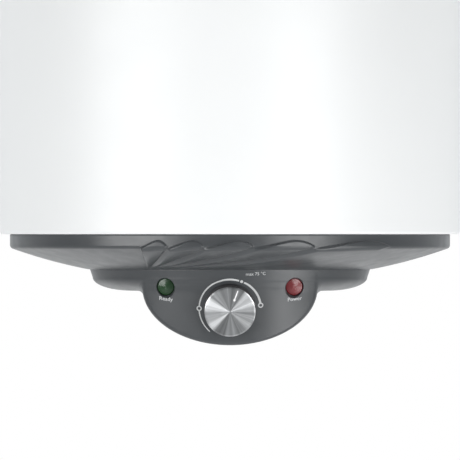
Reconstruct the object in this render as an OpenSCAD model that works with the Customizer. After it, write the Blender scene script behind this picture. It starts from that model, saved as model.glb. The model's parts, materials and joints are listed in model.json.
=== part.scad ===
// Upright wall-hung storage water heater, 80 litre class.
// Origin: middle of the two wall fixing holes, on the wall's face.
// +Z is up, +X is to the right seen from the room, and -Y faces the room.

/* [Casing] */
// Outer diameter of the white casing
casing_d = 450; // [400:1:540]
// Height of the white casing
casing_h = 670; // [540:1:900]
// Thickness of the casing's sheet steel
casing_t = 1; // [0.6:0.1:1.6]
// Outer radius of the casing's rolled edges
casing_edge_r = 3; // [2:0.5:6]
// Radial width of the lips turned in at the top and bottom
casing_lip_w = 20; // [16:1:26]

/* [Caps] */
// Wall thickness of both moulded caps
cap_wall = 2.5; // [1.8:0.1:3.2]
// How far the caps stand in from the casing's side
cap_recess = 9.8; // [6:0.2:13]
// Straight height of the bottom cap's band
band_h = 10.4; // [6:0.2:16]
// Radius of the edge between band and shoulder
band_edge_r = 4; // [3.4:0.1:6]
// Fall of the shoulder from the band's edge to the boss
shoulder_h = 20; // [12:1:30]
// How far the shoulder's curve bulges below a straight slope
shoulder_bulge = 3; // [0:0.5:6]
// Diameter of the round boss below the shoulder
boss_d = 274; // [250:1:320]
// Height of the boss's side, above its rounded lower edge
boss_side_h = 8; // [6:0.5:16]
// Inward slope of the boss's side over its height
boss_draft = 2.7; // [1:0.1:4]
// Width and height of the boss's rounded lower edge
boss_edge = [38, 13]; // [8:1:44]
// Height of the top cap above the casing
top_cap_h = 24; // [14:1:40]

/* [Control panel] */
// Half the width of the half-moon panel
panel_half_w = 85; // [78:1:96]
// Height of the half-moon's oval, from its middle to its lowest point
panel_drop = 56; // [52:1:66]
// Tilt of the panel towards the floor, in degrees
panel_tilt = 13; // [8:1:16]
// Drop from the panel's top edge to the knob's axis
knob_drop = 30.2; // [28:0.2:34]
// How far the panel's face lies behind the boss's side at its top
panel_sink = 0.8; // [0.4:0.1:3]
// Depth of the panel's housing at the boss's underside
panel_depth = 86; // [80:1:100]

/* [Knob] */
// Diameter of the knob at its base
knob_d = 50.8; // [40:0.2:56]
// Height of the knob's plastic body
knob_h = 9.5; // [7:0.5:14]
// Thickness of the metal face on the knob
knob_face_t = 1; // [0.6:0.1:1.5]
// Gap between the knob's base and the panel
knob_float = 0.8; // [0.5:0.1:1.5]
// Clockwise angle of the pointer at rest, from straight up
knob_rest = 20; // [-100:1:80]
// Diameter of the thermostat's spindle
spindle_d = 6; // [5:0.5:7]
// Radial clearance of the spindle in its bush and hub
spindle_fit = 0.05; // [0.03:0.01:0.08]

/* [Lamps] */
// Distance of each lamp from the middle
lamp_x = 63.3; // [56:0.5:68]
// Distance of the lamps above the knob's axis, along the panel
lamp_rise = 17.4; // [12:0.2:19]
// Diameter of each lamp's lens
lamp_d = 17; // [10:0.5:18]
// Angle by which each lamp turns outward, in degrees
lamp_turn = 14; // [8:1:20]

/* [Tank] */
// Thickness of the insulation around the tank's side
foam_t = 18.4; // [14:0.2:40]
// Space between the tank's ends and the casing's lips
foam_end = 16.8; // [10:0.2:40]
// Thickness of the tank's steel
tank_t = 1.8; // [1.2:0.1:3]
// Height of each domed end
dome_h = 60; // [45:1:80]
// Distance of the flange's centre in front of the tank's axis
flange_y = 15; // [10:1:20]
// Outer and inner diameter of the flange's neck
neck_d = [104, 96]; // [90:1:110]
// Diameter of the flange
flange_d = 132; // [126:1:140]
// Pitch diameter of the flange's studs
stud_pcd = 118; // [114:1:122]
// Number of flange studs
stud_count = 6; // [4:1:8]
// Thickness of the flange plate
plate_t = 3; // [2:0.5:6]
// Thickness of the gasket
gasket_t = 3; // [2:0.5:5]

/* [Inside the tank] */
// Length of the heating element inside the tank
element_len = 300; // [200:5:420]
// Diameter of the element's sheath
element_d = 8.2; // [6:0.2:10]
// Distance between the element's legs
element_span = 32; // [26:1:40]
// Length of the thermostat's pocket
well_len = 260; // [180:5:400]
// Outer diameter of the thermostat's pocket
well_d = 12; // [11:0.5:14]
// Diameter of the magnesium anode
anode_d = 21; // [16:0.5:22]
// Length of the magnesium anode
anode_len = 250; // [150:5:400]

/* [Pipes] */
// Outer diameter of the pipes' male thread
thread_d = 20.96; // [20.4:0.01:22]
// Length of the thread at each pipe's end
thread_len = 20; // [12:1:22]
// Outer diameter of the pipes above their thread
pipe_d = 20; // [16:0.1:20.4]
// Wall thickness of the pipes
pipe_t = 2.9; // [2:0.1:4]
// Distance between the two pipes
pipe_spacing = 100; // [90:1:110]
// Distance of the pipes behind the tank's axis
pipe_y = 70; // [64:1:76]
// Length of each nipple below the boss
nipple_len = 33; // [25:1:50]

/* [Wall fixing] */
// Gap between the casing and the wall
wall_gap = 15; // [13:1:25]
// Distance between the two wall fixing holes
fixing_spacing = 150; // [120:1:160]
// Diameter of the wall fixing holes
fixing_hole_d = 11; // [8:0.5:14]
// Distance of the fixing holes below the casing's top edge
fixing_drop = 120; // [110:1:270]
// Height of the bracket
bracket_h = 60; // [40:1:80]
// Thickness of the bracket's steel
bracket_t = 2.5; // [2:0.1:4]
// Angle of each bracket foot from straight back, in degrees
bracket_angle = 30; // [28:1:34]
// Diameter of the bracket's studs
bracket_stud_d = 8; // [6:1:10]

/* [Hidden] */
$fn = 96;

// Small differences that keep cuts clean
cut = 1;
// Gap where one fixed piece passes through another
fixed_gap = 0.05;
// Gap between the insulation and what it surrounds
foam_gap = 0.3;
// Gap around pieces that pass through the caps
cap_gap = 0.4;

// Casing
casing_r = casing_d / 2;
lip_r = casing_r - casing_lip_w;

// Bottom cap, from its rim at z = 0 downward
band_r = casing_r - cap_recess;
shoulder_slope = atan2(shoulder_h, band_r - boss_d / 2);
shoulder_start_angle = 71;
shoulder_steps = 10;
shoulder_start = [
    band_r - band_edge_r * (1 - cos(shoulder_start_angle)),
    -band_h - band_edge_r * sin(shoulder_start_angle)
];
boss_top_r = boss_d / 2;
shoulder_step = 2;
shoulder_end = [boss_top_r + shoulder_step, shoulder_start[1] - shoulder_h];
shoulder_middle = (shoulder_start + shoulder_end) / 2 - [0, shoulder_bulge];
boss_low_r = boss_top_r - boss_draft;
boss_edge_z = shoulder_end[1] - boss_side_h;
boss_bottom = boss_edge_z - boss_edge[1];
boss_floor = boss_bottom + cap_wall;
rim_short = 0.2;

// Half-moon panel
panel_mid_z = boss_bottom + 3.8;
panel_back_y = panel_depth - boss_low_r;
knob_point = [
    0,
    -boss_low_r + panel_sink + knob_drop * tan(panel_tilt),
    boss_edge_z - knob_drop
];
outline_steps = 40;

// Thermostat, measured inward from the panel along the knob's axis
pad_depth = 7;
plate_back = pad_depth + 1.5;
thermostat_depth = 22;
thermostat_w = 34;
ear_span = 38;
ear_screw_r = 1.5;
body_back = plate_back + thermostat_depth;
spindle_r = spindle_d / 2;
spindle_end = body_back - 7;
bush_r = 5;
hub_r = 6;
knob_r = knob_d / 2;
knob_top = knob_float + knob_h;
knob_wall = 3;
spindle_top = knob_top - 1;
spindle_flat = 0.75;

// Lamps, measured along each lamp's own axis
lamp_r = lamp_d / 2;
lens_front = 2.2;
lens_back = 6.4;
lamp_flange_t = 3;
lamp_back = 24;
lamp_sink = boss_low_r - sqrt(pow(boss_low_r, 2) - pow(lamp_x, 2));

// Tank
foam_r = casing_r - casing_t - foam_gap;
tank_r = foam_r - foam_t - foam_gap;
tank_bottom = casing_t + foam_end;
tank_top = casing_h - casing_t - foam_end;
dome_steps = 16;

// Flange, from the neck's lower face downward
flange_centre = [0, -flange_y];
neck_r = neck_d[0] / 2;
neck_bore_r = neck_d[1] / 2;
neck_rim_t = 5;
neck_face = -6;
plate_top = neck_face - gasket_t;
plate_bottom = plate_top - plate_t;
stud_r = 3;
stud_end = plate_bottom - 12;
nut_h = 5;
leg_y = -flange_y + 7;
leg_x = element_span / 2;
element_r = element_d / 2;
leg_end = plate_bottom - 2;
blade_end = plate_bottom - 15;
well_pos = [0, -flange_y + 27];
well_r = well_d / 2;
well_wall = 1;
anode_pos = [0, -flange_y - 25];
anode_core_r = 2.5;
anode_core_end = plate_bottom - 10;
bulb_r = 4;
bulb_len = 110;
cutout_pos = [-36, -flange_y - 5];
cutout_r = 12;
cutout_bottom = plate_bottom - 14;
button_r = 2.9;
button_travel = 1.5;
button_end = cutout_bottom - 4;
earth_pos = [34, -flange_y + 1];
earth_end = plate_bottom - 14;

// Terminal block on the boss's floor
block_size = [24, 46, 16];
block_pos = [60, -18];
block_top = boss_floor + block_size[2];
block_wire_z = boss_floor + block_size[2] / 2;
block_pitch = 15;

// Pipes, gland and pillars
pipe_r = pipe_d / 2;
thread_r = thread_d / 2;
pipe_x = pipe_spacing / 2;
nipple_end = boss_bottom - nipple_len;
ring_t = 4;
ring_r = 15;
diffuser_top = tank_bottom + 44;
diffuser_h = 18;
outlet_headroom = 30;
gland_pos = [0, 62];
gland_r = 8;
gland_bore_r = 4.2;
gland_hex_r = 11;
pillar_spots = [[-78, -30], [78, -30], [0, 90]];
pillar_r = 5;
screw_r = 2;
screw_head_r = 3.9;
counterbore = 1.4;

// Wall fixing
fixing_z = casing_h - fixing_drop;
wall_y = casing_r + wall_gap;
foot_w = 36;
foot_gap = 0.3;
foot_in = casing_r + foot_gap;
foot_out = foot_in + bracket_t;
leg_in = foot_in * sin(bracket_angle) - foot_w / 2 * cos(bracket_angle);
bracket_stud_r = bracket_stud_d / 2;
bracket_nut_h = 6.5;
spacer_size = [60, 40];
spacer_z = 60;
saddle_gap = 0.1;
bracket_gap = 0.2;

wire_r = 1.5;
wire_sides = 8;

// ---- Frames ----

// The tank's axis, with z = 0 at the casing's bottom edge
module on_tank() {
    translate([0, -wall_y, -fixing_z]) children();
}

// The knob's axis: local +Z points out of the panel, local +Y up along it
module on_knob_axis() {
    translate(knob_point) rotate([90 + panel_tilt, 0, 0]) children();
}

// One lamp's axis: side is -1 for the left lamp and 1 for the right one
module on_lamp(side) {
    on_knob_axis()
        translate([side * lamp_x, lamp_rise, -lamp_sink])
            rotate([0, side * lamp_turn, 0])
                children();
}

// A point given on the knob's axis, in the tank's frame
function from_knob(p) = knob_point + [
    p[0],
    -p[1] * sin(panel_tilt) - p[2] * cos(panel_tilt),
    p[1] * cos(panel_tilt) - p[2] * sin(panel_tilt)
];

// A point on one lamp's own axis, in the tank's frame
function from_lamp(side, depth) = from_knob([
    side * (lamp_x - depth * sin(lamp_turn)),
    lamp_rise,
    -lamp_sink - depth * cos(lamp_turn)
]);

module at(pos, z = 0) {
    translate([pos[0], pos[1], z]) children();
}

module around(pos, radius, count) {
    for (i = [0 : count - 1])
        at(pos)
            rotate([0, 0, 360 * (i + 0.5) / count])
                translate([radius, 0, 0])
                    children();
}

// ---- Shapes ----

function arc(centre, size, from, to, steps) = [
    for (i = [0 : steps])
        let (a = from + (to - from) * i / steps)
            centre + [size[0] * cos(a), size[1] * sin(a)]
];

function curve(a, b, c, steps) = [
    for (i = [0 : steps])
        let (t = i / steps)
            a * pow(1 - t, 2) + b * 2 * t * (1 - t) + c * pow(t, 2)
];

function shifted(points, by) = [for (p = points) p + by];

module tube(outer, inner, h) {
    difference() {
        cylinder(r = outer, h = h);
        translate([0, 0, -cut]) cylinder(r = inner, h = h + 2 * cut);
    }
}

module hex_nut(radius, bore, h) {
    difference() {
        cylinder(r = radius, h = h, $fn = 6);
        translate([0, 0, -cut]) cylinder(r = bore, h = h + 2 * cut);
    }
}

function unit(v) = v / norm(v);

// A smooth run of points through the given ones
function smooth_path(p, steps) = concat(
    [
        for (i = [0 : len(p) - 2], j = [0 : steps - 1])
            let (
                t = j / steps,
                a = p[max(i - 1, 0)],
                b = p[i],
                c = p[i + 1],
                d = p[min(i + 2, len(p) - 1)]
            )
                b + (c - a) * t / 2
                    + (2 * a - 5 * b + 4 * c - d) * pow(t, 2) / 2
                    + (3 * b - a - 3 * c + d) * pow(t, 3) / 2
    ],
    [p[len(p) - 1]]
);

function path_direction(p, i) =
    unit(p[min(i + 1, len(p) - 1)] - p[max(i - 1, 0)]);

// Direction of a wire's ring: square to the given run at both ends
function ring_direction(points, p, i) =
    i == 0 ? unit(points[1] - points[0])
    : i == len(p) - 1 ? unit(points[len(points) - 1] - points[len(points) - 2])
    : path_direction(p, i);

// A round wire along a path, with square-cut ends
module wire(points, radius) {
    p = smooth_path(points, 4);
    side = [0.82, 0.11, 0.56];
    rings = [
        for (i = [0 : len(p) - 1])
            let (
                d = ring_direction(points, p, i),
                u = unit(cross(d, side)),
                v = cross(d, u)
            )
                for (k = [0 : wire_sides - 1])
                    let (a = 360 * k / wire_sides)
                        p[i] + radius * (u * cos(a) + v * sin(a))
    ];
    n = wire_sides;
    last = (len(p) - 1) * n;
    polyhedron(
        points = rings,
        faces = concat(
            [[for (k = [0 : n - 1]) k]],
            [
                for (i = [0 : len(p) - 2], k = [0 : n - 1])
                    [i * n + k, (i + 1) * n + k, (i + 1) * n + (k + 1) % n]
            ],
            [
                for (i = [0 : len(p) - 2], k = [0 : n - 1])
                    [i * n + k, (i + 1) * n + (k + 1) % n, i * n + (k + 1) % n]
            ],
            [[for (k = [0 : n - 1]) last + n - 1 - k]]
        )
    );
}

// ---- Casing and caps ----

module outer_casing() {
    inner_edge_r = casing_edge_r - casing_t;
    edge_c = casing_r - casing_edge_r;
    color("white") on_tank() difference() {
        rotate_extrude() polygon(concat(
            [[lip_r, 0]],
            arc([edge_c, casing_edge_r], [1, 1] * casing_edge_r, -90, 0, 8),
            arc([edge_c, casing_h - casing_edge_r], [1, 1] * casing_edge_r, 0, 90, 8),
            [[lip_r, casing_h], [lip_r, casing_h - casing_t]],
            arc([edge_c, casing_h - casing_edge_r], [1, 1] * inner_edge_r, 90, 0, 8),
            arc([edge_c, casing_edge_r], [1, 1] * inner_edge_r, 0, -90, 8),
            [[lip_r, casing_t]]
        ));
        bracket_stud_holes(cap_gap);
    }
}

// Half section of the bottom cap, drawn inward of its surface by inset
function cap_section(inset, top) = concat(
    [[0, top], [band_r - inset, top]],
    arc(
        [band_r - band_edge_r, -band_h], [1, 1] * (band_edge_r - inset),
        0, -shoulder_start_angle, 6
    ),
    shifted(
        curve(shoulder_start, shoulder_middle, shoulder_end, shoulder_steps),
        inset * [-sin(shoulder_slope), cos(shoulder_slope)]
    ),
    [[boss_top_r - inset, shoulder_end[1] - 0.6 + inset * cos(shoulder_slope)]],
    arc(
        [boss_low_r - boss_edge[0], boss_edge_z], boss_edge - [inset, inset],
        0, -90, 10
    ),
    [[0, boss_bottom + inset]]
);

// The half-moon housing, drawn inward of its surface by inset
module panel_housing(inset) {
    half_w = panel_half_w - inset;
    drop = panel_drop - inset;
    far = 2 * casing_r;
    intersection() {
        rotate([90, 0, 0])
            linear_extrude(height = far)
                polygon(concat(
                    arc([0, panel_mid_z], [half_w, drop], 180, 360, outline_steps),
                    [[half_w, boss_edge_z], [-half_w, boss_edge_z]]
                ));
        on_knob_axis()
            translate([0, 0, -boss_low_r])
                rotate([90, 0, 0])
                    cylinder(r = boss_low_r - inset, h = far, center = true, $fn = 192);
        translate([0, panel_back_y, boss_bottom])
            rotate([-45, 0, 0])
                translate([-far / 2, -far - inset, -far / 2])
                    cube(far);
    }
}

// Seats for the thermostat and the two lamps, inside the panel
module panel_seats() {
    on_knob_axis() {
        translate([0, 0, -pad_depth]) cylinder(r = 11, h = pad_depth - 2);
        for (side = [-1, 1])
            translate([side * ear_span / 2, 0, -pad_depth])
                cylinder(r = 3.5, h = pad_depth - 3);
    }
    for (side = [-1, 1])
        on_lamp(side)
            translate([0, 0, -lens_back])
                cylinder(r = lamp_r + 1.8, h = lens_back - 3.4);
}

module panel_holes() {
    on_knob_axis() {
        translate([0, 0, -pad_depth - cut]) cylinder(r = bush_r + 0.2, h = pad_depth + 2 * cut);
        for (side = [-1, 1])
            translate([side * ear_span / 2, 0, -pad_depth - cut])
                cylinder(r = ear_screw_r + fixed_gap, h = cut + 3);
    }
    for (side = [-1, 1])
        on_lamp(side)
            translate([0, 0, -lens_back - cut])
                cylinder(r = lamp_r + 0.2, h = lens_back + 10);
}

// Shelf under the casing's lip, and the ring that centres the cap in the lip
module cap_rim() {
    outer_r = lip_r - cap_gap;
    inner_r = outer_r - cap_wall;
    rotate_extrude($fn = 192) {
        translate([inner_r, -cap_wall]) square([band_r - 1 - inner_r, cap_wall]);
        translate([inner_r, -cap_wall]) square([cap_wall, cap_wall + casing_t - rim_short]);
    }
}

module bottom_cap() {
    color("dimgray") on_tank() difference() {
        union() {
            difference() {
                union() {
                    rotate_extrude($fn = 192) polygon(cap_section(0, 0));
                    panel_housing(0);
                }
                rotate_extrude($fn = 192) polygon(cap_section(cap_wall, cut));
                panel_housing(cap_wall);
            }
            panel_seats();
            cap_rim();
        }
        panel_holes();
        for (side = [-1, 1])
            at([side * pipe_x, pipe_y], boss_bottom - cut)
                cylinder(r = thread_r + cap_gap, h = cap_wall + 2 * cut);
        at(gland_pos, boss_bottom - cut) cylinder(r = gland_r + fixed_gap, h = cap_wall + 2 * cut);
        for (spot = pillar_spots) {
            at(spot, boss_bottom - cut) cylinder(r = screw_r + 0.2, h = cap_wall + 2 * cut);
            at(spot, boss_bottom - cut) cylinder(r = screw_head_r + 0.3, h = counterbore + cut);
        }
    }
}

module top_cap() {
    edge = 6;
    rise = top_cap_h - edge - 4;
    function section(inset, base) = concat(
        [[0, base], [band_r - inset, base]],
        arc([band_r - edge, 4], [1, 1] * (edge - inset), 0, 60, 6),
        arc([0, 4], [band_r - edge - inset, edge + rise - inset], 30, 90, 16)
    );
    color("dimgray") on_tank() translate([0, 0, casing_h]) {
        difference() {
            rotate_extrude($fn = 192) polygon(section(0, 0));
            rotate_extrude($fn = 192) polygon(section(cap_wall, -cut));
        }
        mirror([0, 0, 1]) cap_rim();
    }
}

// ---- Tank and insulation ----

function dome(centre_z, radius, h, from, to) =
    arc([0, centre_z], [radius, h], from, to, dome_steps);

module insulation_foam() {
    bevel = casing_edge_r;
    low = casing_t + foam_gap;
    high = casing_h - casing_t - foam_gap;
    color("khaki") on_tank() difference() {
        rotate_extrude() polygon([
            [0, low], [foam_r - bevel, low], [foam_r, low + bevel],
            [foam_r, high - bevel], [foam_r - bevel, high], [0, high]
        ]);
        rotate_extrude() polygon(concat(
            dome(tank_bottom + dome_h, tank_r + foam_gap, dome_h + foam_gap, -90, 0),
            dome(tank_top - dome_h, tank_r + foam_gap, dome_h + foam_gap, 0, 90)
        ));
        at(flange_centre) cylinder(r = neck_r + foam_gap, h = tank_bottom + dome_h);
        for (side = [-1, 1])
            at([side * pipe_x, pipe_y]) cylinder(r = pipe_r + foam_gap, h = tank_bottom + dome_h);
        for (spot = pillar_spots)
            at(spot) cylinder(r = pillar_r + foam_gap, h = tank_bottom + dome_h);
        bracket_stud_holes(foam_gap);
    }
}

module tank_shell() {
    color("steelblue") on_tank()
        translate([0, 0, tank_bottom + dome_h])
            tube(tank_r, tank_r - tank_t, tank_top - tank_bottom - 2 * dome_h);
}

module tank_top_dome() {
    color("steelblue") on_tank() rotate_extrude() polygon(concat(
        dome(tank_top - dome_h, tank_r, dome_h, 0, 90),
        dome(tank_top - dome_h, tank_r - tank_t, dome_h - tank_t, 90, 0)
    ));
}

module tank_bottom_dome() {
    color("steelblue") on_tank() difference() {
        rotate_extrude() polygon(concat(
            dome(tank_bottom + dome_h, tank_r, dome_h, -90, 0),
            dome(tank_bottom + dome_h, tank_r - tank_t, dome_h - tank_t, 0, -90)
        ));
        at(flange_centre) cylinder(r = neck_r + fixed_gap, h = tank_bottom + dome_h);
        for (side = [-1, 1])
            at([side * pipe_x, pipe_y]) cylinder(r = pipe_r + fixed_gap, h = tank_bottom + dome_h);
    }
}

// ---- Flange ----

module flange_neck() {
    color("slategray") on_tank() at(flange_centre, neck_face) {
        tube(neck_r, neck_bore_r, tank_bottom + 12 - neck_face);
        tube(flange_d / 2, neck_bore_r, neck_rim_t);
    }
}

module flange_gasket() {
    color("black") on_tank() at(flange_centre, plate_top)
        tube(stud_pcd / 2 - stud_r - 2, neck_bore_r - 8, gasket_t);
}

module flange_plate() {
    color("silver") on_tank() difference() {
        at(flange_centre, plate_bottom) cylinder(d = flange_d, h = plate_t);
        translate([0, 0, plate_bottom - cut]) {
            around(flange_centre, stud_pcd / 2, stud_count)
                cylinder(r = stud_r + 0.3, h = plate_t + 2 * cut);
            for (side = [-1, 1])
                at([side * leg_x, leg_y]) cylinder(r = element_r + fixed_gap, h = plate_t + 2 * cut);
            at(well_pos) cylinder(r = well_r + fixed_gap, h = plate_t + 2 * cut);
            at(anode_pos) cylinder(r = anode_core_r + fixed_gap, h = plate_t + 2 * cut);
        }
    }
}

module flange_studs() {
    color("silver") on_tank()
        translate([0, 0, stud_end])
            around(flange_centre, stud_pcd / 2, stud_count)
                cylinder(r = stud_r, h = neck_face - stud_end);
}

module flange_nuts() {
    color("gray") on_tank()
        translate([0, 0, plate_bottom - nut_h])
            around(flange_centre, stud_pcd / 2, stud_count)
                hex_nut(5.77, stud_r + fixed_gap, nut_h);
}

module heating_element() {
    top = plate_top + element_len;
    color("peru") on_tank() {
        for (side = [-1, 1])
            at([side * leg_x, leg_y], leg_end) cylinder(r = element_r, h = top - leg_end);
        translate([0, leg_y, top])
            rotate([90, 0, 0])
                rotate_extrude(angle = 180)
                    translate([leg_x, 0])
                        circle(r = element_r);
    }
}

module element_terminals() {
    blade = [6.3, 0.8];
    collar_h = 4;
    color("gold") on_tank() for (side = [-1, 1]) at([side * leg_x, leg_y]) {
        translate([0, 0, leg_end - collar_h]) cylinder(r = 3, h = collar_h);
        translate([-blade[0] / 2, -blade[1] / 2, blade_end])
            cube([blade[0], blade[1], leg_end - collar_h - blade_end]);
    }
}

module thermowell() {
    color("silver") on_tank() at(well_pos) difference() {
        translate([0, 0, leg_end]) cylinder(r = well_r, h = well_len + plate_top - leg_end);
        translate([0, 0, leg_end - cut])
            cylinder(r = well_r - well_wall, h = well_len + plate_top - leg_end + cut - well_wall);
    }
}

module thermostat_bulb() {
    color("peru") on_tank() at(well_pos, plate_top + well_len - bulb_len - 10)
        cylinder(r = bulb_r, h = bulb_len);
}

module anode_rod() {
    color("lightgray") on_tank() at(anode_pos, neck_face)
        tube(anode_d / 2, anode_core_r + fixed_gap, anode_len);
}

module anode_core() {
    color("silver") on_tank() at(anode_pos, anode_core_end)
        cylinder(r = anode_core_r, h = neck_face - anode_core_end + anode_len - 10);
}

module anode_nut() {
    color("gray") on_tank() at(anode_pos, plate_bottom - 4)
        hex_nut(4.6, anode_core_r + fixed_gap, 4);
}

// ---- Controls ----

module thermostat_body() {
    bore_r = spindle_r + spindle_fit;
    color("ivory") on_tank() on_knob_axis() difference() {
        union() {
            translate([-thermostat_w / 2, -thermostat_w / 2, -body_back])
                cube([thermostat_w, thermostat_w, thermostat_depth]);
            translate([-ear_span / 2 - 4, -5, -plate_back])
                cube([ear_span + 8, 10, plate_back - pad_depth]);
            translate([0, 0, -plate_back]) cylinder(r = bush_r, h = plate_back - 1.5);
        }
        translate([0, 0, -spindle_end - 0.5]) cylinder(r = bore_r, h = spindle_end + 1);
        for (side = [-1, 1])
            translate([side * ear_span / 2, 0, -plate_back - cut])
                cylinder(r = ear_screw_r + fixed_gap, h = 1.5 + 2 * cut);
    }
}

module thermostat_screws() {
    color("silver") on_tank() on_knob_axis() for (side = [-1, 1])
        translate([side * ear_span / 2, 0, -plate_back]) {
            cylinder(r = ear_screw_r, h = plate_back - pad_depth + 2.5);
            translate([0, 0, -1.5]) intersection() {
                cylinder(r = 2.6, h = 1.5);
                translate([side > 0 ? -1.9 : -4, -4, 0]) cube([5.9, 8, 1.5]);
            }
        }
}

// A round bar with one flat, for the spindle and for the hole that takes it
module flatted_bar(radius, flat, h) {
    difference() {
        cylinder(r = radius, h = h);
        translate([-radius, radius - flat, -cut]) cube([2 * radius, radius, h + 2 * cut]);
    }
}

module thermostat_spindle() {
    color("silver") on_tank() on_knob_axis() rotate([0, 0, -knob_rest]) {
        translate([0, 0, -spindle_end]) cylinder(r = spindle_r, h = spindle_end);
        flatted_bar(spindle_r, spindle_flat, spindle_top);
    }
}

module knob_body() {
    hole_r = spindle_r + spindle_fit;
    color([0.18, 0.19, 0.2]) on_tank() on_knob_axis() rotate([0, 0, -knob_rest])
        translate([0, 0, knob_float]) difference() {
            cylinder(r1 = knob_r, r2 = knob_r - 0.5, h = knob_h);
            translate([0, 0, -cut])
                tube(knob_r - knob_wall, hub_r, knob_h - knob_wall + cut);
            translate([0, 0, -cut])
                flatted_bar(hole_r, spindle_flat, spindle_top - knob_float + 0.2 + cut);
        }
}

module knob_face() {
    bevel = 0.6;
    face_r = knob_r - 0.8;
    color("gainsboro") on_tank() on_knob_axis() rotate([0, 0, -knob_rest])
        translate([0, 0, knob_top]) {
            cylinder(r = face_r, h = knob_face_t - bevel);
            translate([0, 0, knob_face_t - bevel])
                cylinder(r1 = face_r, r2 = face_r - bevel, h = bevel);
        }
}

module knob_pointer() {
    outer_end = knob_r - 3.2;
    inner_end = knob_r / 2 - 0.3;
    width = 1.1;
    color("white") on_tank() on_knob_axis() rotate([0, 0, -knob_rest])
        translate([0, 0, knob_top + knob_face_t]) {
            translate([-width / 2, inner_end, 0]) cube([width, outer_end - inner_end, 0.3]);
            translate([0, inner_end, 0]) cylinder(r = width, h = 0.3);
        }
}

module knob_clip() {
    color("silver") on_tank() on_knob_axis()
        translate([0, 0, knob_float + 1])
            tube(hub_r + 0.7, hub_r + fixed_gap, 4);
}

module thermal_cutout() {
    color("saddlebrown") on_tank() at(cutout_pos, cutout_bottom) difference() {
        cylinder(r = cutout_r, h = plate_bottom - cutout_bottom);
        translate([0, 0, -cut]) cylinder(r = button_r + 0.2, h = cut + 6);
    }
}

module reset_button() {
    color("red") on_tank() at(cutout_pos, button_end)
        cylinder(r = button_r, h = cutout_bottom - button_end + 6 - button_travel - 0.5);
}

module terminal_block() {
    color("ivory") on_tank() difference() {
        at(block_pos, boss_floor) cube(block_size);
        for (i = [-1 : 1])
            at(terminal_spot(i), block_top - 6) cylinder(r = 3, h = 6 + cut);
    }
}

function terminal_spot(i) = [
    block_pos[0] + block_size[0] / 2,
    block_pos[1] + block_size[1] / 2 + i * block_pitch
];

module terminal_screws() {
    color("silver") on_tank() for (i = [-1 : 1])
        at(terminal_spot(i), block_top - 6) difference() {
            cylinder(r = 2.8, h = 4);
            translate([-3, -0.4, 3]) cube([6, 0.8, 1 + cut]);
        }
}

module earth_terminal() {
    color("gold") on_tank() at(earth_pos, earth_end) {
        cylinder(r = 2, h = plate_bottom - earth_end);
        translate([0, 0, plate_bottom - earth_end - 5]) cylinder(r = 4, h = 5, $fn = 6);
    }
}

module lens(side) {
    dome_r = 30;
    on_tank() on_lamp(side) intersection() {
        translate([0, 0, -lens_back]) cylinder(r = lamp_r, h = lens_back);
        translate([0, 0, -lens_front - dome_r]) sphere(r = dome_r);
    }
}

module lamp_body(side) {
    on_tank() on_lamp(side) {
        translate([0, 0, -lens_back - lamp_flange_t])
            cylinder(r = lamp_r + 1.4, h = lamp_flange_t);
        translate([0, 0, -lamp_back]) cylinder(r = 6.5, h = lamp_back - lens_back - 1);
    }
}

module green_lens() { color("darkgreen") lens(-1); }
module red_lens() { color("firebrick") lens(1); }
module green_lamp_body() { color("ivory") lamp_body(-1); }
module red_lamp_body() { color("ivory") lamp_body(1); }

// ---- Wiring ----

wire_shelf = boss_floor + 7;
under_plate = plate_bottom - 20;
thermostat_rear = from_knob([0, 0, -body_back]);

function block_exit(i) = [
    block_pos[0],
    terminal_spot(i)[1],
    block_wire_z
];

// Points that lead a wire from the thermostat's rear face up over the boss's floor
function from_thermostat(x) = [
    from_knob([x, 0, -body_back]),
    from_knob([x, 0, -body_back - 5]),
    [x, thermostat_rear[1] + 20, (thermostat_rear[2] + wire_shelf) / 2 - 1],
    [x * 0.9, panel_back_y - 10, wire_shelf - 1]
];

module capillary_tube() {
    color("peru") on_tank() wire(concat(
        from_thermostat(0),
        [
            [0, panel_back_y + 4, wire_shelf + 7],
            [0, well_pos[1] - 24, under_plate - 4],
            [0, well_pos[1] - 8, under_plate + 1],
            [well_pos[0], well_pos[1], plate_bottom - 9],
            [well_pos[0], well_pos[1], plate_bottom + 10],
            [well_pos[0], well_pos[1], plate_top + well_len - bulb_len - 10]
        ]
    ), 1);
}

module live_wire() {
    color("saddlebrown") on_tank() wire([
        block_exit(-1),
        block_exit(-1) - [10, 0, 0],
        [34, anode_pos[1] + 14, under_plate - 5],
        [14, anode_pos[1] + 6, under_plate - 1],
        [0, anode_pos[1] + 4, under_plate],
        [-16, anode_pos[1] + 5, under_plate],
        [cutout_pos[0] + 4, cutout_pos[1] - 10, under_plate - 1],
        [cutout_pos[0] - 5, cutout_pos[1] - 4, under_plate - 1],
        [cutout_pos[0] - 7, cutout_pos[1], cutout_bottom - 4],
        [cutout_pos[0] - 7, cutout_pos[1], cutout_bottom]
    ], wire_r);
}

module switched_wire() {
    color("black") on_tank() wire(concat(
        from_thermostat(-10),
        [
            [cutout_pos[0] + 16, cutout_pos[1] - 18, wire_shelf + 1.5],
            [cutout_pos[0] + 12, cutout_pos[1] - 6, wire_shelf + 5],
            [cutout_pos[0] + 7, cutout_pos[1], cutout_bottom - 5],
            [cutout_pos[0] + 7, cutout_pos[1], cutout_bottom]
        ]
    ), wire_r);
}

module element_wire() {
    color("black") on_tank() wire(concat(
        from_thermostat(10),
        [
            [2, anode_pos[1] - 2, wire_shelf - 0.5],
            [-8, leg_y - 16, wire_shelf + 3],
            [-leg_x, leg_y - 2, blade_end - 9],
            [-leg_x, leg_y, blade_end - 4],
            [-leg_x, leg_y, blade_end]
        ]
    ), wire_r);
}

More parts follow.
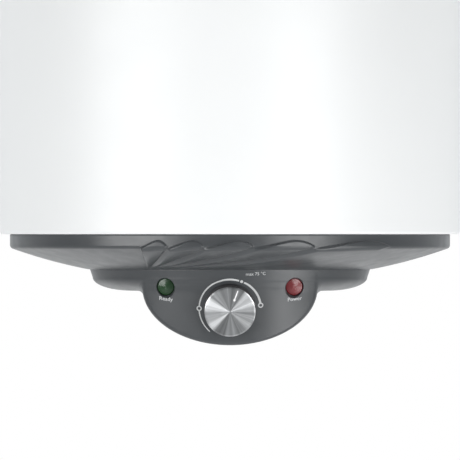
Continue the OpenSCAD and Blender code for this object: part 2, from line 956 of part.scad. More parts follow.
module neutral_wire() {
    color("steelblue") on_tank() wire([
        block_exit(0),
        block_exit(0) - [12, 0, 0],
        [leg_x + 14, leg_y + 8, blade_end - 11],
        [leg_x, leg_y, blade_end - 5],
        [leg_x, leg_y, blade_end]
    ], wire_r);
}

module earth_wire() {
    color("yellowgreen") on_tank() wire([
        block_exit(1),
        block_exit(1) - [10, 0, 0],
        [earth_pos[0] + 4, earth_pos[1] + 22, earth_end - 10],
        [earth_pos[0], earth_pos[1], earth_end - 5],
        [earth_pos[0], earth_pos[1], earth_end]
    ], wire_r);
}

module lamp_wire(side) {
    on_tank() wire([
        from_lamp(side, lamp_back),
        from_lamp(side, lamp_back + 6),
        [side * 44, thermostat_rear[1] + 24, wire_shelf + 2],
        [side * 26, thermostat_rear[1] + 23, wire_shelf - 3],
        from_knob([side * 14, 10, -body_back - 10]),
        from_knob([side * 14, 10, -body_back])
    ], 1);
}

module green_lamp_wire() { color("dimgray") lamp_wire(-1); }
module red_lamp_wire() { color("dimgray") lamp_wire(1); }

// ---- Gland, pipes and pillars ----

module cable_gland() {
    dome_len = 12;
    hex_h = 5;
    top = boss_floor + 8;
    color([0.2, 0.2, 0.2]) on_tank() at(gland_pos) difference() {
        union() {
            translate([0, 0, boss_bottom - hex_h - dome_len]) cylinder(r = gland_r + 2, h = dome_len);
            translate([0, 0, boss_bottom - hex_h]) cylinder(r = gland_hex_r, h = hex_h, $fn = 6);
            translate([0, 0, boss_bottom - cut]) cylinder(r = gland_r, h = top - boss_bottom + cut);
        }
        translate([0, 0, boss_bottom - hex_h - dome_len - cut])
            cylinder(r = gland_bore_r, h = top - boss_bottom + hex_h + dome_len + 2 * cut);
    }
}

module gland_locknut() {
    color([0.2, 0.2, 0.2]) on_tank() at(gland_pos, boss_floor)
        hex_nut(gland_hex_r, gland_r + fixed_gap, nut_h);
}

// A pipe from its threaded end up to the given height
module pipe(side, top) {
    on_tank() at([side * pipe_x, pipe_y], nipple_end) difference() {
        union() {
            cylinder(r = thread_r, h = thread_len);
            cylinder(r = pipe_r, h = top - nipple_end);
        }
        translate([0, 0, -cut]) cylinder(r = pipe_r - pipe_t, h = top - nipple_end + 2 * cut);
    }
}

module cold_inlet_pipe() { color("silver") pipe(1, diffuser_top - 2); }
module hot_outlet_pipe() { color("silver") pipe(-1, tank_top - outlet_headroom); }

module inlet_diffuser() {
    wall = 2;
    inner = pipe_r + fixed_gap;
    color("dimgray") on_tank() at([pipe_x, pipe_y], diffuser_top - diffuser_h) difference() {
        cylinder(r = inner + wall, h = diffuser_h + 10);
        translate([0, 0, -cut]) cylinder(r = inner, h = diffuser_h - 2 + cut);
        translate([0, 0, -cut]) cylinder(r = pipe_r - pipe_t, h = diffuser_h + 8 + cut);
        for (turn = [0, 60, 120])
            rotate([0, 0, turn])
                translate([-2 * inner, -3, diffuser_h])
                    cube([4 * inner, 6, 6]);
    }
}

module pipe_ring(side) {
    on_tank() at([side * pipe_x, pipe_y], boss_bottom - ring_t)
        tube(ring_r, pipe_r + cap_gap, ring_t);
}

module cold_ring() { color("royalblue") pipe_ring(1); }
module hot_ring() { color("crimson") pipe_ring(-1); }

module cap_pillars() {
    color("slategray") on_tank() difference() {
        for (spot = pillar_spots)
            at(spot, boss_floor) cylinder(r = pillar_r, h = tank_bottom + dome_h - boss_floor);
        rotate_extrude() polygon(concat(
            [[0, tank_top]],
            dome(tank_bottom + dome_h, tank_r + fixed_gap, dome_h + fixed_gap, -90, 0),
            [[tank_r, tank_top]]
        ));
        for (spot = pillar_spots)
            at(spot, boss_floor - cut) cylinder(r = screw_r + fixed_gap, h = 14 + cut);
    }
}

module cap_screws() {
    head_h = 2.2;
    color("silver") on_tank() for (spot = pillar_spots)
        at(spot, boss_bottom + counterbore) {
            translate([0, 0, -0.1]) cylinder(r = screw_r, h = 13);
            translate([0, 0, -head_h]) difference() {
                cylinder(r = screw_head_r, h = head_h);
                for (turn = [0, 90])
                    rotate([0, 0, turn]) translate([-2.2, -0.4, -cut]) cube([4.4, 0.8, cut + 1]);
            }
        }
}

// ---- Wall fixing ----

module on_foot(side) {
    translate([0, 0, fixing_z]) rotate([0, 0, -side * bracket_angle]) children();
}

// Straight back from the tank's surface, through foam, casing and foot
module bracket_stud(side, radius, from, to) {
    on_foot(side)
        translate([0, from, 0])
            rotate([-90, 0, 0])
                cylinder(r = radius, h = to - from);
}

module bracket_stud_holes(gap) {
    for (side = [-1, 1])
        bracket_stud(side, bracket_stud_r + gap, tank_r - tank_t, casing_r + 2 * cut);
}

module wall_bracket() {
    web_w = 2 * (leg_in + bracket_t);
    leg_from = foot_in * cos(bracket_angle) + foot_w / 2 * sin(bracket_angle);
    color("lightgray") on_tank() difference() {
        union() {
            translate([-web_w / 2, wall_y - bracket_t, fixing_z - bracket_h / 2])
                cube([web_w, bracket_t, bracket_h]);
            for (side = [-1, 1]) {
                translate([side * (leg_in + bracket_t / 2) - bracket_t / 2,
                    leg_from, fixing_z - bracket_h / 2])
                    cube([bracket_t, wall_y - leg_from, bracket_h]);
                on_foot(side)
                    translate([-foot_w / 2, foot_in, -bracket_h / 2])
                        cube([foot_w, bracket_t, bracket_h]);
            }
        }
        for (side = [-1, 1]) {
            translate([side * fixing_spacing / 2, wall_y - bracket_t - cut, fixing_z])
                rotate([-90, 0, 0])
                    cylinder(d = fixing_hole_d, h = bracket_t + 2 * cut);
            bracket_stud(side, bracket_stud_r + cap_gap, casing_r, foot_out + cut);
        }
        translate([0, 0, fixing_z - bracket_h]) cylinder(r = casing_r + bracket_gap, h = 2 * bracket_h);
    }
}

module bracket_studs() {
    color("silver") on_tank() difference() {
        for (side = [-1, 1])
            bracket_stud(side, bracket_stud_r, tank_r - tank_t, foot_out + bracket_nut_h + 1.5);
        translate([0, 0, fixing_z - bracket_h]) cylinder(r = tank_r, h = 2 * bracket_h);
    }
}

module bracket_nuts() {
    color("gray") on_tank() for (side = [-1, 1])
        on_foot(side)
            translate([0, foot_out, 0])
                rotate([-90, 0, 0])
                    hex_nut(7.5, bracket_stud_r + fixed_gap, bracket_nut_h);
}

module wall_spacer() {
    saddle = casing_r - sqrt(pow(casing_r, 2) - pow(spacer_size[0] / 2, 2));
    color("dimgray") on_tank() difference() {
        translate([-spacer_size[0] / 2, casing_r - saddle, spacer_z])
            cube([spacer_size[0], wall_gap + saddle, spacer_size[1]]);
        translate([0, 0, spacer_z - cut])
            cylinder(r = casing_r + saddle_gap, h = spacer_size[1] + 2 * cut);
    }
}

outer_casing();
top_cap();
bottom_cap();
insulation_foam();
tank_shell();
tank_top_dome();
tank_bottom_dome();
flange_neck();
flange_gasket();
flange_plate();
flange_studs();
flange_nuts();
heating_element();
element_terminals();
thermowell();
thermostat_bulb();
capillary_tube();
anode_rod();
anode_core();
anode_nut();
thermostat_body();
thermostat_screws();
thermostat_spindle();
knob_body();
knob_face();
knob_pointer();
knob_clip();
thermal_cutout();
reset_button();
terminal_block();
terminal_screws();
earth_terminal();
green_lens();
green_lamp_body();
red_lens();
red_lamp_body();
live_wire();
switched_wire();
element_wire();
neutral_wire();
earth_wire();
green_lamp_wire();
red_lamp_wire();
cable_gland();
gland_locknut();
cold_inlet_pipe();
inlet_diffuser();
hot_outlet_pipe();
cold_ring();
hot_ring();
cap_pillars();
cap_screws();
wall_bracket();
bracket_studs();
bracket_nuts();
wall_spacer();
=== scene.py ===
"""Looks of the wall-hung storage water heater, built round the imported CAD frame.

Shapes are worked out in millimetres in the tank's frame (its axis at x = y = 0, z = 0 at the
casing's bottom edge) and put into the row's frame, in metres, when their mesh is made.
"""
import json
import math

import bmesh
import bpy
import numpy as np
from mathutils import Matrix, Vector


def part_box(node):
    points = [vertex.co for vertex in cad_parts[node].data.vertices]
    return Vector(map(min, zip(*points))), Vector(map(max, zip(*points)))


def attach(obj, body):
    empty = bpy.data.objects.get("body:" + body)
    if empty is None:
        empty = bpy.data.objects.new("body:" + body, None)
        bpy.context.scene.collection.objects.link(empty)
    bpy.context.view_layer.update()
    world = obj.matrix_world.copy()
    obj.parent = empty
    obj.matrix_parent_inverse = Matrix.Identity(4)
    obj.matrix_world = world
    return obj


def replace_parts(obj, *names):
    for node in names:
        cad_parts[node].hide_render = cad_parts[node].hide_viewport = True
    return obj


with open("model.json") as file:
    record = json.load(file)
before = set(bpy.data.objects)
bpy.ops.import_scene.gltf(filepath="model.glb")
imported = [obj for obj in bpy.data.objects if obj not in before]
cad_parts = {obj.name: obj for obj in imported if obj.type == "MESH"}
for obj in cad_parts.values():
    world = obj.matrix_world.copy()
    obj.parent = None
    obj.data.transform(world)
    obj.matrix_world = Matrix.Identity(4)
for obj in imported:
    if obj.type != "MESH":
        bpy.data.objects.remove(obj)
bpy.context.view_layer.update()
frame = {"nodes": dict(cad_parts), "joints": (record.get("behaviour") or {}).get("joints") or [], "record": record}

MM = 0.001

# ---- Places, all from the frame ----

casing_low, casing_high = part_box("outer_casing")
cap_low, cap_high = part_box("bottom_cap")
top_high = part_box("top_cap")[1]
ring_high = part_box("cold_ring")[1]
TANK = Vector((
    (casing_low.x + casing_high.x) / 2,
    (casing_low.y + casing_high.y) / 2,
    casing_low.z,
))


def in_tank_frame(point):
    """A point of the row's frame, in millimetres in the tank's frame."""
    return (Vector(point) - TANK) / MM


# The frame's casing has flat facets, and the round one stays inside them by this much.
FACET_ROOM = 0.1
CASING_R = (casing_high.x - casing_low.x) / 2 / MM - FACET_ROOM
CASING_H = (casing_high.z - casing_low.z) / MM
BAND_R = (cap_high.x - cap_low.x) / 2 / MM
BOSS_BOTTOM = in_tank_frame(ring_high).z
PANEL_LOW = in_tank_frame(cap_low).z
TOP_CAP_H = in_tank_frame(top_high).z - CASING_H

# The knob's frame has its origin on the panel's face, +Z out of the panel and +Y up along it.
knob_joint = next(j for j in frame["joints"] if j["name"] == "knob_turn")
outward = -Vector(knob_joint["axis"]).normalized()
KNOB_POINT = in_tank_frame(knob_joint["pos_m"])
sideways = Vector((1, 0, 0))
upward = outward.cross(sideways)
KNOB = Matrix.Translation(KNOB_POINT) @ Matrix((sideways, upward, outward)).transposed().to_4x4()

# The lamps stand square to the panel's curve, so they are turned from the knob's axis.
LAMP_TURN = math.radians(14)
LENS_R = 8.5
LENS_T = 4.2


def lamp_frame(lens):
    """The axis of one lamp: +Z out of the panel, with its origin at the middle of the lens."""
    low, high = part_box(lens)
    centre = in_tank_frame((low + high) / 2)
    turn = math.copysign(LAMP_TURN, centre.x)
    place = KNOB.inverted() @ centre
    return KNOB @ Matrix.Translation(place) @ Matrix.Rotation(turn, 4, "Y")


LAMPS = {"green_lens": lamp_frame("green_lens"), "red_lens": lamp_frame("red_lens")}

# ---- Mesh helpers ----


def arc(centre, size, start, stop, steps):
    """Points on an ellipse's arc, between two angles in degrees."""
    angles = np.radians(np.linspace(start, stop, steps + 1))
    return [(centre[0] + size[0] * math.cos(a), centre[1] + size[1] * math.sin(a)) for a in angles]


def curve(a, b, c, steps):
    """Points on the quadratic curve from a to c with control point b."""
    t = np.linspace(0, 1, steps + 1)[:, None]
    a, b, c = (np.array(p, float) for p in (a, b, c))
    return [tuple(p) for p in a * (1 - t) ** 2 + b * 2 * t * (1 - t) + c * t**2]


def grid_faces(rows, columns, closed_rows=False, closed_columns=False):
    """Quads of a grid whose points are numbered row by row."""
    row = np.arange(rows if closed_rows else rows - 1)
    column = np.arange(columns if closed_columns else columns - 1)
    r, c = np.meshgrid(row, column, indexing="ij")
    r2, c2 = (r + 1) % rows, (c + 1) % columns
    quads = np.stack([r * columns + c, r * columns + c2, r2 * columns + c2, r2 * columns + c], -1)
    return quads.reshape(-1, 4)


def solid(name, points, faces, matrix=None):
    """A mesh object from points in millimetres in the tank's frame, or in that of a matrix."""
    mesh = bpy.data.meshes.new(name)
    faces = faces.tolist() if isinstance(faces, np.ndarray) else faces
    mesh.from_pydata((np.asarray(points, float) * MM).tolist(), [], faces)
    obj = bpy.data.objects.new(name, mesh)
    bpy.context.scene.collection.objects.link(obj)
    place = Matrix.Identity(4) if matrix is None else matrix.copy()
    place.translation = place.translation * MM + TANK
    obj.matrix_world = place
    tidy_mesh(mesh)
    bpy.context.view_layer.update()
    return obj


def tidy_mesh(mesh):
    """Welds coincident points, drops stray edges and turns every face outward."""
    bm = bmesh.new()
    bm.from_mesh(mesh)
    bmesh.ops.remove_doubles(bm, verts=bm.verts, dist=1e-6)
    stray = [e for e in bm.edges if not e.link_faces]
    bmesh.ops.delete(bm, geom=stray, context="EDGES")
    bmesh.ops.recalc_face_normals(bm, faces=bm.faces)
    bm.to_mesh(mesh)
    bm.free()


def finished(obj, slot, body="heater", smooth=32):
    """Gives a piece its slot's material, its shading and the body it rides on."""
    obj.data.shade_smooth()
    obj.data.set_sharp_from_angle(angle=math.radians(smooth))
    obj.data.materials.clear()
    obj.data.materials.append(MATERIALS[slot])
    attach(obj, body)
    return obj


def turned(profile, angles, offset=None):
    """Points and faces of a closed section turned about +Z.

    The section is a loop of (radius, z). offset(index, angle) may push a point outward.
    """
    section = np.array(profile, float)
    rows, columns = len(section), len(angles)
    radius = np.repeat(section[:, :1], columns, 1)
    height = np.repeat(section[:, 1:], columns, 1)
    if offset is not None:
        radius = radius + offset(radius, height, angles[None, :])
    points = np.stack([radius * np.cos(angles), radius * np.sin(angles), height], -1)
    return points.reshape(-1, 3), grid_faces(rows, columns, closed_rows=True, closed_columns=True)


def even_angles(count):
    """Angles in radians that share a whole turn equally."""
    return np.linspace(0, 2 * math.pi, count, endpoint=False)


def lathe(name, profile, matrix=None, steps=96):
    """A solid turned from a section that starts and ends on the axis, or closes on itself."""
    points, faces = turned(profile, even_angles(steps))
    return solid(name, points, faces, matrix)


def cut_away(target, cutters):
    """Takes the cutters' shapes out of the target, then removes the cutters."""
    for cutter in cutters:
        modifier = target.modifiers.new("cut", "BOOLEAN")
        modifier.object = cutter
        modifier.operation = "DIFFERENCE"
        modifier.solver = "EXACT"
    graph = bpy.context.evaluated_depsgraph_get()
    mesh = bpy.data.meshes.new_from_object(target.evaluated_get(graph))
    target.modifiers.clear()
    target.data = mesh
    for cutter in cutters:
        bpy.data.objects.remove(cutter)


# ---- Materials ----


MATERIALS = {}


def new_material(name):
    """A node material, kept in MATERIALS: its node tree and its Principled shader."""
    material = bpy.data.materials.new(name)
    material.use_nodes = True
    MATERIALS[name] = material
    return material.node_tree, material.node_tree.nodes["Principled BSDF"]


def add(tree, kind, **settings):
    """A new shader node of that kind, with its settings made."""
    node = tree.nodes.new("ShaderNode" + kind)
    for name, value in settings.items():
        setattr(node, name, value)
    return node


def object_point(tree):
    """Where a point of the surface is in its object, in metres."""
    return add(tree, "TexCoord").outputs["Object"]


def noise(tree, point, size_mm, detail=2.0, stretch=(1, 1, 1)):
    """A noise pattern whose features are about that many millimetres across."""
    mapping = add(tree, "Mapping")
    mapping.inputs["Scale"].default_value = [k / (size_mm * MM) for k in stretch]
    tree.links.new(point, mapping.inputs["Vector"])
    node = add(tree, "TexNoise")
    node.inputs["Scale"].default_value = 1
    node.inputs["Detail"].default_value = detail
    tree.links.new(mapping.outputs["Vector"], node.inputs["Vector"])
    return node.outputs["Fac"]


def ramp(tree, value, low, high, start=0.3, stop=0.7):
    """Maps a pattern onto a span of numbers."""
    node = add(tree, "MapRange")
    for name, number in zip(("From Min", "From Max", "To Min", "To Max"), (start, stop, low, high)):
        node.inputs[name].default_value = number
    tree.links.new(value, node.inputs["Value"])
    return node.outputs["Result"]


def blend(tree, amount, low, high):
    """A colour between two, by a pattern."""
    node = add(tree, "Mix", data_type="RGBA")
    tree.links.new(amount, node.inputs["Factor"])
    for socket, colour in (("A", low), ("B", high)):
        target = [i for i in node.inputs if i.name == socket and i.type == "RGBA"][0]
        if isinstance(colour, bpy.types.NodeSocket):
            tree.links.new(colour, target)
        else:
            target.default_value = (*colour, 1)
    return [o for o in node.outputs if o.type == "RGBA"][0]


def bump(tree, value, depth_mm, normal=None):
    """A normal that follows a pattern as relief of that depth."""
    node = add(tree, "Bump")
    node.inputs["Strength"].default_value = 1
    node.inputs["Distance"].default_value = depth_mm * MM
    tree.links.new(value, node.inputs["Height"])
    if normal is not None:
        tree.links.new(normal, node.inputs["Normal"])
    return node.outputs["Normal"]


def tint(colour, amount):
    """The colour made lighter or darker by a share of itself."""
    return tuple(min(1, c * (1 + amount)) for c in colour)


def finish(
    slot, colour, rough, mottle=0.05, mottle_mm=40, grain_mm=0.6, grain_depth=0.01,
    stretch=(1, 1, 1), **settings
):
    """A slot's material: mottled colour, uneven gloss and a fine surface grain.

    rough is the span of its roughness; settings are further values of the shader's sockets.
    """
    tree, principled = new_material(slot)
    point = object_point(tree)
    patches = noise(tree, point, mottle_mm, 4)
    colours = blend(tree, ramp(tree, patches, 0, 1), tint(colour, -mottle), tint(colour, mottle))
    tree.links.new(colours, principled.inputs["Base Color"])
    wear = noise(tree, point, mottle_mm / 3, 5, stretch)
    tree.links.new(ramp(tree, wear, *rough), principled.inputs["Roughness"])
    grain = noise(tree, point, grain_mm, 3, stretch)
    tree.links.new(bump(tree, grain, grain_depth), principled.inputs["Normal"])
    for name, value in settings.items():
        principled.inputs[name.replace("_", " ").title()].default_value = value


def zinc_plate():
    """Zinc-plated steel, with the soft crystal pattern of its coating."""
    tree, principled = new_material("zinc_steel")
    point = object_point(tree)
    spangle = add(tree, "TexVoronoi")
    spangle.inputs["Scale"].default_value = 1 / (5 * MM)
    tree.links.new(point, spangle.inputs["Vector"])
    shade = noise(tree, point, 25, 4)
    tone = blend(tree, ramp(tree, shade, 0, 1), (0.47, 0.48, 0.48), (0.60, 0.61, 0.60))
    crystals = ramp(tree, spangle.outputs["Distance"], 0, 0.35, 0, 0.8)
    tree.links.new(blend(tree, crystals, tone, (0.70, 0.71, 0.72)), principled.inputs["Base Color"])
    tree.links.new(ramp(tree, noise(tree, point, 4, 4), 0.26, 0.42), principled.inputs["Roughness"])
    grain = noise(tree, point, 0.5, 3)
    tree.links.new(bump(tree, grain, 0.012), principled.inputs["Normal"])
    principled.inputs["Metallic"].default_value = 1


def spun_metal():
    """Aluminium faced on a lathe: rings too fine to see, which fan the light out into wedges, with highlight
    streaks also painted into its colour as rays.
    """
    tree, principled = new_material("knob_metal")
    point = object_point(tree)
    split = add(tree, "SeparateXYZ")
    tree.links.new(point, split.inputs["Vector"])
    flat = add(tree, "CombineXYZ")
    for axis in ("X", "Y"):
        tree.links.new(split.outputs[axis], flat.inputs[axis])
    length = add(tree, "VectorMath", operation="LENGTH")
    tree.links.new(flat.outputs["Vector"], length.inputs[0])
    direction = add(tree, "VectorMath", operation="NORMALIZE")
    tree.links.new(flat.outputs["Vector"], direction.inputs[0])
    rings = add(tree, "TexNoise", noise_dimensions="1D")
    rings.inputs["Scale"].default_value = 1 / (0.35 * MM)
    tree.links.new(length.outputs["Value"], rings.inputs["W"])
    # Painted highlight: the base colour is made lighter and darker in rays round the centre, standing in for
    # streaks of reflection.
    painted_highlight_rays = add(tree, "TexNoise")
    painted_highlight_rays.inputs["Scale"].default_value = 2.4
    painted_highlight_rays.inputs["Detail"].default_value = 4
    tree.links.new(direction.outputs["Vector"], painted_highlight_rays.inputs["Vector"])
    tone = ramp(tree, painted_highlight_rays.outputs["Fac"], 0, 1, 0.40, 0.60)
    tree.links.new(
        blend(tree, tone, (0.28, 0.285, 0.29), (0.72, 0.73, 0.74)), principled.inputs["Base Color"]
    )
    tree.links.new(ramp(tree, rings.outputs["Fac"], 0.30, 0.42), principled.inputs["Roughness"])
    tree.links.new(bump(tree, rings.outputs["Fac"], 0.002), principled.inputs["Normal"])
    tangent = add(tree, "Tangent", direction_type="RADIAL", axis="Z")
    tree.links.new(tangent.outputs["Tangent"], principled.inputs["Tangent"])
    principled.inputs["Metallic"].default_value = 1
    principled.inputs["Anisotropic"].default_value = 0.9
    principled.inputs["Anisotropic Rotation"].default_value = 0.25


def cell_foam():
    """Rigid polyurethane foam, with its open cells, shade painted darker into their pits, and darker skin in
    patches.
    """
    tree, principled = new_material("foam")
    point = object_point(tree)
    cells = add(tree, "TexVoronoi")
    cells.inputs["Scale"].default_value = 1 / (1.6 * MM)
    tree.links.new(point, cells.inputs["Vector"])
    patches = ramp(tree, noise(tree, point, 60, 5), 0, 1)
    skin = blend(tree, patches, (0.62, 0.50, 0.24), (0.80, 0.70, 0.42))
    # Painted shade: the cells' sunken middles are coloured darker, as shade in the pits.
    painted_pit_shade = ramp(tree, cells.outputs["Distance"], 0, 0.5, 0, 0.6)
    tree.links.new(blend(tree, painted_pit_shade, (0.45, 0.34, 0.15), skin), principled.inputs["Base Color"])
    tree.links.new(bump(tree, cells.outputs["Distance"], 0.25), principled.inputs["Normal"])
    tree.links.new(ramp(tree, cells.outputs["Distance"], 0.95, 0.8), principled.inputs["Roughness"])


def wire_sheath(slot, colour):
    """Extruded sheath of a wire."""
    finish(slot, colour, (0.38, 0.5), mottle=0.06, mottle_mm=12, grain_mm=0.4, grain_depth=0.008)


def moulding(slot, colour, rough=(0.36, 0.48), grain=0.012, **settings):
    """Moulded plastic or rubber, or a coat of paint, with a faint even grain."""
    finish(
        slot, colour, rough, mottle=0.04, mottle_mm=30, grain_mm=0.5, grain_depth=grain, **settings
    )


def metal(slot, colour, rough=(0.25, 0.4), stretch=(1, 1, 1), **settings):
    """Bare metal; stretch draws its grain out along an axis."""
    finish(
        slot, colour, rough, mottle=0.08, mottle_mm=15, grain_mm=0.5, grain_depth=0.008,
        stretch=stretch, metallic=1.0, **settings
    )


finish(
    "white_enamel", (0.80, 0.81, 0.81), (0.44, 0.52), mottle=0.006, mottle_mm=120,
    grain_mm=1.2, grain_depth=0.002, coat_weight=0.12, coat_roughness=0.35,
)
finish(
    "cap_grey", (0.052, 0.056, 0.060), (0.30, 0.38), mottle=0.03, mottle_mm=45,
    grain_mm=0.45, grain_depth=0.008,
)
cell_foam()
finish(
    "tank_enamel", (0.05, 0.10, 0.19), (0.18, 0.35), mottle=0.12, mottle_mm=35,
    grain_mm=1.8, grain_depth=0.03, coat_weight=0.5,
)
metal("bare_steel", (0.50, 0.50, 0.51), (0.28, 0.45), stretch=(1, 1, 0.1))
zinc_plate()
moulding("gasket_rubber", (0.022, 0.022, 0.022), (0.6, 0.75), grain=0.03)
metal("copper", (0.78, 0.40, 0.25), (0.22, 0.42))
metal("brass", (0.76, 0.58, 0.26), (0.2, 0.36))
metal("magnesium", (0.52, 0.52, 0.50), (0.45, 0.65), stretch=(1, 1, 0.15))
moulding("ivory_plastic", (0.66, 0.62, 0.50))
moulding("knob_dark", (0.030, 0.027, 0.029), (0.32, 0.44))
spun_metal()
moulding("pointer_white", (0.82, 0.82, 0.82), (0.3, 0.4), grain=0.004)
moulding("print_grey", (0.55, 0.56, 0.56), (0.4, 0.5), grain=0.004)
moulding("brown_bakelite", (0.07, 0.032, 0.016), (0.25, 0.4))
moulding("button_red", (0.55, 0.03, 0.025), (0.2, 0.3))
moulding("lens_green", (0.010, 0.042, 0.012), (0.18, 0.28), grain=0.003, coat_weight=0.3)
moulding("lens_red", (0.17, 0.018, 0.022), (0.18, 0.28), grain=0.003, coat_weight=0.3)
wire_sheath("wire_brown", (0.13, 0.055, 0.02))
wire_sheath("wire_black", (0.015, 0.015, 0.015))
wire_sheath("wire_blue", (0.03, 0.10, 0.42))
wire_sheath("wire_earth", (0.28, 0.48, 0.03))
moulding("black_nylon", (0.020, 0.020, 0.021), (0.42, 0.55), grain=0.02)
moulding("ring_blue", (0.015, 0.09, 0.48), (0.28, 0.38))
moulding("ring_red", (0.48, 0.015, 0.015), (0.28, 0.38))

# Every piece of the frame gets its slot's material.
for part in frame["record"]["subparts"]:
    node = frame["nodes"][part["node"]]
    node.data.materials.clear()
    node.data.materials.append(MATERIALS[part["material_slot"]])


# ---- Camera, light and stage ----

# The camera looks level at a point this far over the casing's bottom edge, in millimetres.
VIEW_HEIGHT = 4.1
# Its distance from the tank's axis, and the width that it takes in there, in metres.
CAMERA_DISTANCE = 10.0
FRAME_WIDTH = 0.45
# Strength of the ambient light from in front, from behind and from overhead.
AMBIENT_FRONT = 0.10
AMBIENT_BACK = 0.85
AMBIENT_ABOVE = 0.4


def aimed(name, data, place, target):
    """A camera or lamp at a place, looking at a target, both in the row's frame."""
    obj = bpy.data.objects.new(name, data)
    bpy.context.scene.collection.objects.link(obj)
    obj.location = place
    obj.rotation_euler = (Vector(target) - Vector(place)).to_track_quat("-Z", "Y").to_euler()
    return obj


def make_camera():
    """A long lens far away, straight in front, as in the photograph."""
    data = bpy.data.cameras.new("camera")
    data.sensor_width = 36
    data.lens = data.sensor_width * CAMERA_DISTANCE / FRAME_WIDTH
    data.clip_end = 60
    target = TANK + Vector((0, 0, VIEW_HEIGHT * MM))
    place = target - Vector((0, CAMERA_DISTANCE, 0))
    bpy.context.scene.camera = aimed("camera", data, place, target)


def softbox(name, azimuth, elevation, distance, size, power):
    """A rectangular lamp aimed at the control panel, which the camera itself doesn't see.

    Azimuth 0 is straight in front of the heater, and positive to its right.
    """
    data = bpy.data.lights.new(name, "AREA")
    data.shape = "RECTANGLE"
    data.size, data.size_y = size
    data.energy = power
    target = TANK + Vector((0, 0, -0.03))
    turn, lift = math.radians(azimuth), math.radians(elevation)
    level = Vector((math.sin(turn), -math.cos(turn), 0)) * math.cos(lift)
    towards = level + Vector((0, 0, math.sin(lift)))
    aimed(name, data, target + towards * distance, target).visible_camera = False


def floor_lamp():
    """A wide lamp overhead and behind, which whitens the floor that the cap's underside mirrors."""
    data = bpy.data.lights.new("floor_lamp", "AREA")
    data.size = 6
    data.energy = 180
    place = TANK + Vector((0, 4.5, 1.5))
    aimed("floor_lamp", data, place, place - Vector((0, 0, 3))).visible_camera = False


def make_world():
    """White where the camera looks past the object; dim in front of it, bright behind and above."""
    world = bpy.data.worlds.new("studio")
    bpy.context.scene.world = world
    world.use_nodes = True
    tree = world.node_tree
    split = add(tree, "SeparateXYZ")
    tree.links.new(add(tree, "TexCoord").outputs["Generated"], split.inputs[0])
    ambient = tree.nodes["Background"]
    glow = add(tree, "Math", operation="MAXIMUM")
    behind = ramp(tree, split.outputs["Y"], AMBIENT_FRONT, AMBIENT_BACK, -0.1, 0.75)
    above = ramp(tree, split.outputs["Z"], AMBIENT_FRONT, AMBIENT_ABOVE, 0.6, 0.8)
    tree.links.new(behind, glow.inputs[0])
    tree.links.new(above, glow.inputs[1])
    tree.links.new(glow.outputs[0], ambient.inputs["Strength"])
    ambient.inputs["Color"].default_value = (0.95, 0.98, 1, 1)
    plain = add(tree, "Background")
    plain.inputs["Color"].default_value = (1, 1, 1, 1)
    mix = add(tree, "MixShader")
    tree.links.new(add(tree, "LightPath").outputs["Is Camera Ray"], mix.inputs["Fac"])
    tree.links.new(ambient.outputs["Background"], mix.inputs[1])
    tree.links.new(plain.outputs["Background"], mix.inputs[2])
    tree.links.new(mix.outputs["Shader"], tree.nodes["World Output"].inputs["Surface"])


def make_floor(radius=9.0, drop=1.45):
    """A pale floor well below the heater, clear from underneath; its sizes are in metres."""
    tree, principled = new_material("pale_floor")
    point = object_point(tree)
    tone = ramp(tree, noise(tree, point, 400, 3), 0, 1)
    tree.links.new(
        blend(tree, tone, (0.80, 0.80, 0.80), (0.84, 0.84, 0.84)), principled.inputs["Base Color"]
    )
    principled.inputs["Roughness"].default_value = 0.7
    side = add(tree, "NewGeometry")
    clear = add(tree, "BsdfTransparent")
    mix = add(tree, "MixShader")
    tree.links.new(side.outputs["Backfacing"], mix.inputs["Fac"])
    tree.links.new(principled.outputs["BSDF"], mix.inputs[1])
    tree.links.new(clear.outputs["BSDF"], mix.inputs[2])
    tree.links.new(mix.outputs["Shader"], tree.nodes["Material Output"].inputs["Surface"])
    low = PANEL_LOW - drop / MM
    rim = [(radius / MM * math.cos(a), radius / MM * math.sin(a), low) for a in even_angles(64)]
    floor = solid("floor", rim, [list(range(64))])
    if floor.data.polygons[0].normal.z < 0:
        floor.data.flip_normals()
    floor.data.materials.append(MATERIALS["pale_floor"])


make_camera()
make_world()
make_floor()
bpy.context.scene.view_settings.view_transform = "Standard"
softbox("left_softbox", -47, -2, 2.3, (1.6, 1.0), 34)
softbox("right_softbox", 36, -2, 2.3, (1.1, 1.0), 24.5)
softbox("low_right_softbox", 55, -28, 1.9, (1.0, 0.7), 10)
floor_lamp()

# ---- Casing and top cap ----

CASING_T = 1.0
CASING_EDGE = 3.0
# Radius of the opening that each turned-in edge leaves.
LIP_R = 205.0
# Both caps have this wall, and a rim this far into the casing's opening that centres them.
CAP_WALL = 2.5
RIM_R = LIP_R - 0.4
RIM_H = 0.8
SEAM_ANGLE = math.radians(78)
SEAM_WIDTH = 14.0
SEAM_HEIGHT = 0.8


